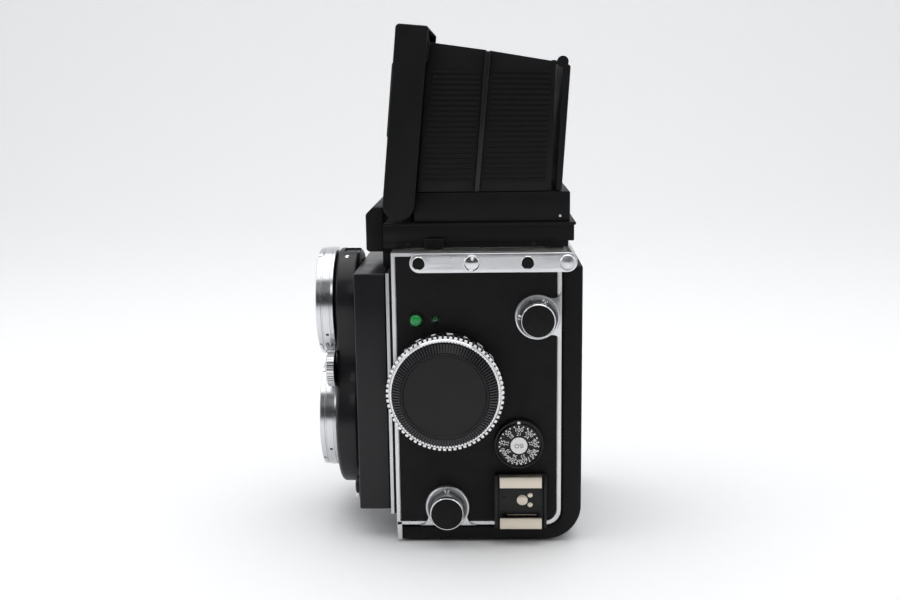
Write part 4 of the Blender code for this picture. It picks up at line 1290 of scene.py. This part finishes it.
# ------------------------------------------------------------- front group
@dataclass
class LensFront:
    """Sliding front: standard, housing, both lenses, wheels and release."""

    lobe_top: float = 22.2
    lobe_low: float = 29.6

    def build(self) -> None:
        """Model the front group and the bed behind it."""
        self.bed()
        self.standard()
        self.housing()
        for tag in ("view", "take"):
            self.lens(tag)
        self.wheels()
        self.release()

    def bed(self) -> None:
        """Model the bed: a plate edge with a fine ribbed bright strip."""
        low, high = corners("focus_bed")
        plate = block("bed_plate", (low.x, high.x), (-22.6, high.y), (low.z, high.z), 0.15)
        tube = block("bed_tube", (-33.0, 33.0), (low.y, -22.0), (16.0, 105.4), 0.3)
        fuse(plate, tube)
        room = block("bed_room", (-31.6, 31.6), (low.y - 1, high.y + 1), (17.4, 104.0), 0.0)
        dress(ease(carve(plate, room), 0.0), INNER_BLACK, "body", "focus_bed")
        for side in (-1, 1):
            ribs = []
            count = 150
            pitch = (high.z - low.z) / count
            face = side * (high.x + 0.15)
            strip = block("strip", (side * 38.0, face), (-22.8, -21.5), (low.z, high.z), 0.1)
            for k in range(count):
                z = low.z + pitch * (k + 0.2)
                ribs.append(block(
                    "rib", (face - side * 0.1, face + side * 0.1), (-22.75, -21.55), (z, z + pitch * 0.55),
                    0.0,
                ))
            dress(gather(f"bed_strip_{'ab'[side > 0]}", [strip] + ribs), SATIN_CHROME, "body")

    def standard(self) -> None:
        """Model the hollow front standard with soft edges."""
        low, high = corners("front_standard")
        case = block("standard_case", (low.x, high.x), (low.y, high.y), (low.z, high.z), 0.7, 3)
        room = block("standard_room", (-33.4, 33.4), (low.y + 1.8, high.y + 2), (15.6, 105.8), 0.0)
        view, take = centre("view_barrel"), centre("take_barrel")
        holes = [
            turned(
                "hole", [(0, low.y - 2), (radius, low.y - 2), (radius, low.y + 4), (0, low.y + 4)], "y",
                (0, mid.z), 40,
            )
            for mid, radius in ((view, 12.5), (take, 16.5))
        ]
        dress(ease(carve(case, room, *holes), 0.0), BLACK_ENAMEL, "front", "front_standard")

    def outline(self) -> list[Point]:
        """Give the housing's outline: two lobes joined by a soft waist."""
        view, take = centre("view_barrel").z, centre("take_barrel").z
        top = arc((0, view), self.lobe_top, -22, 202, 48)
        low = arc((0, take), self.lobe_low, 143, 397, 60)
        left = self.curve(top[-1], (-20.0, 70.6), low[0])
        right = [(-x, z) for x, z in reversed(left)]
        return top + left + low + right

    @staticmethod
    def curve(start: Point, middle: Point, stop: Point) -> list[Point]:
        """Give inner points of a soft waist through a middle point."""
        points = []
        count = 9
        for k in range(1, count):
            t = k / count
            a, b, c = (1 - t) ** 2, 2 * t * (1 - t), t * t
            control = [2 * middle[i] - (start[i] + stop[i]) / 2 for i in (0, 1)]
            points.append((
                a * start[0] + b * control[0] + c * stop[0], a * start[1] + b * control[1] + c * stop[1],
            ))
        return points

    def housing(self) -> None:
        """Model the housing with rounded front edges and two lens bores."""
        low, high = corners("lens_housing")
        case = extruded("housing_case", self.outline(), "y", (low.y, high.y), 1.9, 5, 60)
        bores = [
            turned(
                "bore", [(0, low.y - 2), (17.3, low.y - 2), (17.3, high.y + 2), (0, high.y + 2)], "y",
                (0, centre(n).z), 64,
            )
            for n in ("view_barrel", "take_barrel")
        ]
        slot = block("slot", (-5.5, 5.5), (-42.8, -36.4), (112.4, 114.5), 0.0)
        dress(ease(carve(case, *bores, slot), 0.0), BLACK_ENAMEL, "front", "lens_housing")
        screw = [(0.25, -0.2), (0.95, -0.2), (0.95, 0.15), (0.6, 0.3), (0.25, 0.2)]
        for side in (-1, 1):
            head = turned(f"housing_screw_{'ab'[side > 0]}", screw, "z", (0, 0), 20)
            tilt = Matrix.Rotation(math.radians(side * 26), 4, "Y")
            view = centre("view_barrel").z
            head.data.transform(Matrix.Translation(Vector((
                0, -41.0, view,
            )) * MM) @ tilt @ Matrix.Translation(Vector((0, 0, self.lobe_top)) * MM))
            dress(head, POLISHED_CHROME, "front")

    def lens(self, tag: str) -> None:
        """Model one lens: bayonet ring, inner steps and coated glass."""
        low, high = corners(f"{tag}_barrel")
        mid = centre(f"{tag}_barrel")
        hub = (0.0, mid.z)
        rim = (high.z - low.z) / 2
        ring = [
            (20.6, low.y + 1.2),
            (20.9, low.y),
            (rim - 0.55, low.y),
            (rim - 0.25, low.y + 0.3),
            (rim - 0.25, low.y + 1.9),
            (rim - 0.6, low.y + 2.1),
            (rim - 0.6, low.y + 2.5),
            (rim, low.y + 2.8),
            (rim, low.y + 5.4),
            (rim - 0.3, low.y + 5.6),
            (rim - 0.3, low.y + 6.0),
            (rim, low.y + 6.2),
            (rim - 0.1, low.y + 6.9),
            (rim - 0.6, low.y + 7.2),
            (16.9, low.y + 7.2),
            (16.9, high.y),
            (16.0, high.y),
            (16.0, low.y + 5.6),
            (20.4, low.y + 4.6),
        ]
        piece = turned(f"{tag}_ring", ring, "y", hub, 112)
        dress(piece, RING_CHROME, "front", f"{tag}_barrel")
        cone = [
            (20.5, low.y + 2.0), (20.3, low.y + 4.7), (16.6, low.y + 5.4), (16.2, low.y + 5.0),
            (15.0, low.y + 5.0),
        ]
        cone += [
            (14.6, low.y + 6.2), (13.6, low.y + 6.4), (13.2, low.y + 7.6), (11.6, low.y + 8.0),
            (11.6, high.y), (12.4, high.y),
        ]
        cone += [(16.2, low.y + 6.6), (20.7, low.y + 5.2)]
        dress(turned(f"{tag}_cone", cone, "y", hub, 80), INNER_BLACK, "front")
        name_ring = [(16.0, low.y + 5.2), (13.4, low.y + 6.3), (13.4, low.y + 6.0), (15.9, low.y + 4.9)]
        dress(turned(f"{tag}_trim", name_ring, "y", hub, 80), SATIN_CHROME, "front")
        bow = arc((0.0, low.y + 9.1 + 30.0), 31.3, -90, -68.6, 12)
        front = [(radius, along) for radius, along in bow]
        glass = [(0, high.y - 2.4)] + [(11.3, high.y - 2.4)] + list(reversed(front))
        dress(turned(f"{tag}_lens", glass, "y", hub, 64), COATED_GLASS, "front", f"{tag}_glass")
        for k, turn in enumerate((20, 140, 260)):
            lug = block(
                f"{tag}_lug_{k}", (-2.6, 2.6), (low.y + 0.2, low.y + 1.6),
                (hub[1] + rim - 0.4, hub[1] + rim - 0.02), 0.1,
            )
            dress(lean(lug, (0.0, hub[1]), turn, "y"), POLISHED_CHROME, "front")
        mark = block(
            f"{tag}_index", (-0.55, 0.55), (low.y + 3.6, low.y + 4.7),
            (hub[1] + rim - 0.3, hub[1] + rim + 0.03), 0.0,
        )
        dress(lean(mark, (0.0, hub[1]), 118, "y"), GREY_MARK, "front")

    def wheels(self) -> None:
        """Model the aperture and shutter wheels."""
        for name, body in (("aperture_wheel", "aperture"), ("shutter_wheel", "shutter")):
            low, high = corners(name)
            mid = centre(name)
            hub = (mid.x, mid.z)
            rim = (high.z - low.z) / 2
            knurl = extruded(
                f"{name}_knurl", toothed_ring(hub, rim, rim - 0.45, 40, 0.55), "y", (low.y + 0.6, high.y),
                0.08, 1, 60,
            )
            dress(knurl, POLISHED_CHROME, body, name)
            face = [
                (0, low.y), (rim - 1.6, low.y), (rim - 0.9, low.y + 0.7), (rim - 0.9, low.y + 1.2),
                (0, low.y + 1.2),
            ]
            dress(turned(f"{name}_face", face, "y", hub, 48), SATIN_CHROME, body)
            nut = [(0, low.y - 0.0), (1.6, low.y - 0.0), (1.8, low.y + 0.3), (0, low.y + 0.3)]
            dress(turned(f"{name}_nut", nut, "y", hub, 24), BLACK_ENAMEL, body)

    def release(self) -> None:
        """Model the release button in its collar, and the sync lever."""
        low, high = corners("release_collar")
        mid = centre("release_collar")
        hub = (mid.x, mid.z)
        rim = (high.z - low.z) / 2
        collar = [
            (3.4, low.y + 0.4), (3.8, low.y), (rim - 0.6, low.y), (rim, low.y + 0.6), (rim, high.y),
            (3.4, high.y),
        ]
        dress(turned("release_ring", collar, "y", hub, 48), SATIN_CHROME, "front", "release_collar")
        low, high = corners("release_button")
        cap = [
            (0, low.y + 0.4), (2.0, low.y + 0.15), (2.6, low.y + 0.3), (2.9, low.y + 0.8), (2.9, high.y),
            (0, high.y),
        ]
        dress(turned("release_cap", cap, "y", hub, 40), POLISHED_CHROME, "release", "release_button")
        low, high = corners("sync_lever")
        pivot = (centre("sync_lever").x, high.z - 3.6)
        base = [(0, low.y + 0.4), (2.9, low.y + 0.3), (3.6, low.y + 0.7), (3.6, high.y), (0, high.y)]
        dress(turned("sync_boss", base, "y", pivot, 36), BLACK_ENAMEL, "sync", "sync_lever")
        arm = block(
            "sync_arm", (pivot[0] - 1.1, pivot[0] + 1.1), (low.y, high.y - 0.5), (low.z, pivot[1]), 0.4, 3,
        )
        dress(arm, SATIN_CHROME, "sync")


# -------------------------------------------------------------------- hood
@dataclass
class Hood:
    """Folding hood: base, catch, lid with flap and magnifier, and walls."""

    nodes: dict[str, bpy.types.Object]
    hinge: Point = (-17.6, 135.0)
    tilt: float = -5.6
    ribs: int = 22
    wall_names: tuple[str, str] = field(default=("left", "right"))

    def build(self) -> None:
        """Model the hood."""
        self.base()
        self.lid()
        self.flap()
        self.magnifier()
        for name, sign in zip(self.wall_names, (1, -1)):
            self.side_wall(name, sign)
        self.rear_wall()
        self.catch()

    def base(self) -> None:
        """Model the stepped base frame with soft steps."""
        high = corners("hood_base")[1]
        tiers = (
            ("foot", (-24.0, 48.0), (117.7, 120.6), 30.6),
            ("tier", (-24.0, 50.2), (120.2, 126.6), 31.0),
            ("lip", (-24.0, high.y), (126.3, 127.5), 31.0),
            ("upper", (-12.0, 48.7), (127.2, high.z), 29.4),
        )
        solid = None
        for name, y, z, half in tiers:
            tier = block(f"base_{name}", (-half, half), y, z, 0.35 if name != "upper" else 0.6, 2)
            solid = tier if solid is None else fuse(solid, tier)
        well = block("well", (-28.2, 28.2), (-17.0, 44.0), (110.0, 150.0), 0.0)
        dress(ease(carve(solid, well), 0.0), MATT_LACQUER, "body", "hood_base")
        for side in (-1, 1):
            for k, y in enumerate((-14.6, 34.6)):
                face = side * 30.6
                pin = [
                    (0, face - side * 0.2), (0.75, face - side * 0.2), (0.75, face + side * 0.08),
                    (0, face + side * 0.12),
                ]
                dress(
                    turned(f"base_pin_{'ab'[side > 0]}{k}", pin, "x", (y, 119.2), 16), BLACK_ENAMEL,
                    "body",
                )
            face = side * 29.4
            rivet = [
                (0, face - side * 0.2), (0.5, face - side * 0.2), (0.5, face + side * 0.15),
                (0, face + side * 0.25),
            ]
            dress(
                turned(f"base_rivet_{'ab'[side > 0]}", rivet, "x", (44.8, 129.8), 16), SATIN_CHROME,
                "body",
            )

    def lid(self) -> None:
        """Model the lid: a tray with rounded lower ends, leaning back."""
        y, z = self.hinge
        front, top = y - 6.2, z + 67.8
        outline = arc((y, z), 6.2, 180, 360, 28)
        outline += arc((y + 5.2, top - 1.0), 1.0, 0, 90, 6) + arc((front + 1.6, top - 1.6), 1.6, 90, 180, 8)
        lid = extruded("lid_tray", outline, "x", (-33.4, 33.4), 0.55, 3)
        tray = block("tray", (-31.4, 31.4), (front + 1.2, y + 9.0), (z - 9.0, top - 1.1), 0.0)
        window = block("window", (-17.0, 17.0), (front - 1.0, front + 4.0), (z + 24.0, z + 54.0), 0.0)
        carve(lid, tray, window)
        dress(ease(lean(lid, self.hinge, self.tilt), 0.0), MATT_LACQUER, "lid", "hood_lid")
        for side in (-1, 1):
            web = [(y + 5.4, top - 0.6), (y + 5.4, top - 15.0), (y + 7.0, top - 12.0), (y + 7.2, top - 6.5)]
            inner = extruded(f"lid_web_{'ab'[side > 0]}", web, "x", (side * 30.2, side * 31.3), 0.2)
            dress(lean(inner, self.hinge, self.tilt), MATT_LACQUER, "lid")

    def flap(self) -> None:
        """Model the finder flap, slightly proud of the lid."""
        y, z = self.hinge
        front = y - 6.2
        flap = block("flap_plate", (-16.6, 16.6), (front - 1.8, front + 1.0), (z + 24.4, z + 53.6), 0.7, 3)
        pin = turned(
            "pin", [(0, -16.6), (0.9, -16.6), (0.9, 16.6), (0, 16.6)], "x", (front + 1.4, z + 52.6), 20,
        )
        fuse(flap, pin)
        dress(ease(lean(flap, self.hinge, self.tilt), 0.0), LEATHERETTE, "flap", "finder_flap")

    def magnifier(self) -> None:
        """Model the magnifier: ring, arm, pin and lens."""
        y, z = self.hinge
        front = y - 6.2
        hub = (0.0, z + 38.0)
        ring = turned("magnifier_ring", [
            (11.0, front + 2.8), (13.4, front + 2.7), (14.0, front + 3.3), (14.0, front + 4.6),
            (13.4, front + 5.2), (11.0, front + 5.0),
        ], "y", hub, 64)
        arm = block("arm", (-3.0, 3.0), (front + 3.0, front + 4.7), (z + 50.0, z + 55.5), 0.3)
        pin = turned(
            "pin", [(0, -8.0), (1.3, -8.0), (1.3, 8.0), (0, 8.0)], "x", (front + 4.0, z + 55.6), 20,
        )
        fuse(ring, arm, pin)
        dress(ease(lean(ring, self.hinge, self.tilt), 0.0), BLACK_ABS, "magnifier", "magnifier_frame")
        bulge = [
            (0, front + 2.7), (6.0, front + 2.9), (10.9, front + 3.4), (10.9, front + 4.6),
            (6.0, front + 5.3), (0, front + 5.6),
        ]
        lens = turned("magnifier_lens", bulge, "y", hub, 48)
        dress(lean(lens, self.hinge, self.tilt), CLEAR_GLASS, "magnifier", "magnifier_glass")

    def side_wall(self, name: str, sign: int) -> None:
        """Model a side wall: two ribbed leaves and the hinge rod between them.

        Args:
            name: "left" or "right".
            sign: 1 for +X, -1 for -X.
        """
        low, high = corners(f"hood_wall_{name}")
        foot = low.z
        face, back = sign * 29.2, sign * 28.0
        leaves = (
            (
                "fore", [(-10.6, foot), (12.0, foot), (16.8, 192.9), (-5.4, high.z)],
                (-8.4, 10.6, -3.4, 14.8),
            ),
            ("aft", [(13.4, foot), (41.4, foot), (43.0, 188.3), (18.0, 192.7)], (15.0, 39.4, 19.6, 41.0)),
        )
        for tag, outline, ends in leaves:
            leaf = extruded(f"wall_{name}_{tag}", outline, "x", (back, face - sign * 0.3), 0.15)
            parts = [leaf]
            slope = math.radians(-1.6)
            for k in range(self.ribs):
                share = (k + 0.5) / self.ribs
                z = 142.8 + share * 43.5
                start = ends[0] + (ends[2] - ends[0]) * share
                stop = ends[1] + (ends[3] - ends[1]) * share
                outline_rib = [
                    (start, z - 0.55), (stop, z - 0.55 + (stop - start) * math.tan(slope) * share),
                ]
                outline_rib += [(stop, outline_rib[1][1] + 1.1), (start, z + 0.55)]
                parts.append(extruded("rib", outline_rib, "x", (face - sign * 0.4, face), 0.0))
            wall = gather(f"wall_{name}_{tag}", parts)
            self.fold(dress(wall, MATT_LACQUER, "body", f"hood_wall_{name}"))
        rod = [(11.6, foot), (13.6, foot), (18.4, 192.3), (16.4, 192.6)]
        piece = extruded(f"wall_{name}_rod", rod, "x", (sign * 28.6, sign * 30.3), 0.5, 3)
        self.fold(dress(piece, BLACK_ENAMEL, "body"))

    def rear_wall(self) -> None:
        """Model the rear wall with its two hinge lugs."""
        low, high = corners("hood_wall_rear")
        outline = [(43.2, low.z), (45.4, low.z), (48.6, 186.6), (45.8, 188.4)]
        wall = extruded("wall_rear", outline, "x", (low.x, high.x), 0.5, 3)
        for side in (-1, 1):
            lug = turned(
                "lug", [(0, side * 27.9), (2.2, side * 27.9), (2.2, side * 29.3), (0, side * 29.3)], "x",
                (45.6, 188.2), 28,
            )
            fuse(wall, lug)
        self.fold(dress(ease(wall, 0.0), MATT_LACQUER, "body", "hood_wall_rear"))

    @staticmethod
    def fold(piece: bpy.types.Object) -> None:
        """Give a wall piece its own copy of its mesh."""
        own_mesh(piece)

    def catch(self) -> None:
        """Model the catch with finger ribs."""
        low, high = corners("hood_catch")
        tab = block("catch_tab", (low.x, high.x - 0.3), (low.y, high.y), (low.z, high.z), 0.4, 3)
        parts = [tab]
        for k in range(5):
            y = low.y + 1.2 + k * 1.3
            parts.append(block(
                "rib", (high.x - 0.5, high.x), (y, y + 0.6), (low.z + 0.6, high.z - 0.5), 0.1,
            ))
        dress(gather("catch_tab", parts), MATT_LACQUER, "catch", "hood_catch")


def main() -> None:
    """Load the frame, build every sub-assembly and finish."""
    logging.basicConfig(level=logging.INFO, format="%(message)s")
    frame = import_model()
    nodes = frame["nodes"]
    bpy.context.scene.view_settings.view_transform = "Standard"
    Studio().build()
    Shell(nodes).build()
    StrapPlates().build()
    BackDoor(nodes).build()
    FocusKnob().build(nodes)
    SpeedDial().build()
    FlashShoe().build()
    SmallControls().build()
    SpoolKnobs().build()
    Crank().build()
    LensFront().build()
    Hood(nodes).build()


if __name__ == "__main__":
    main()
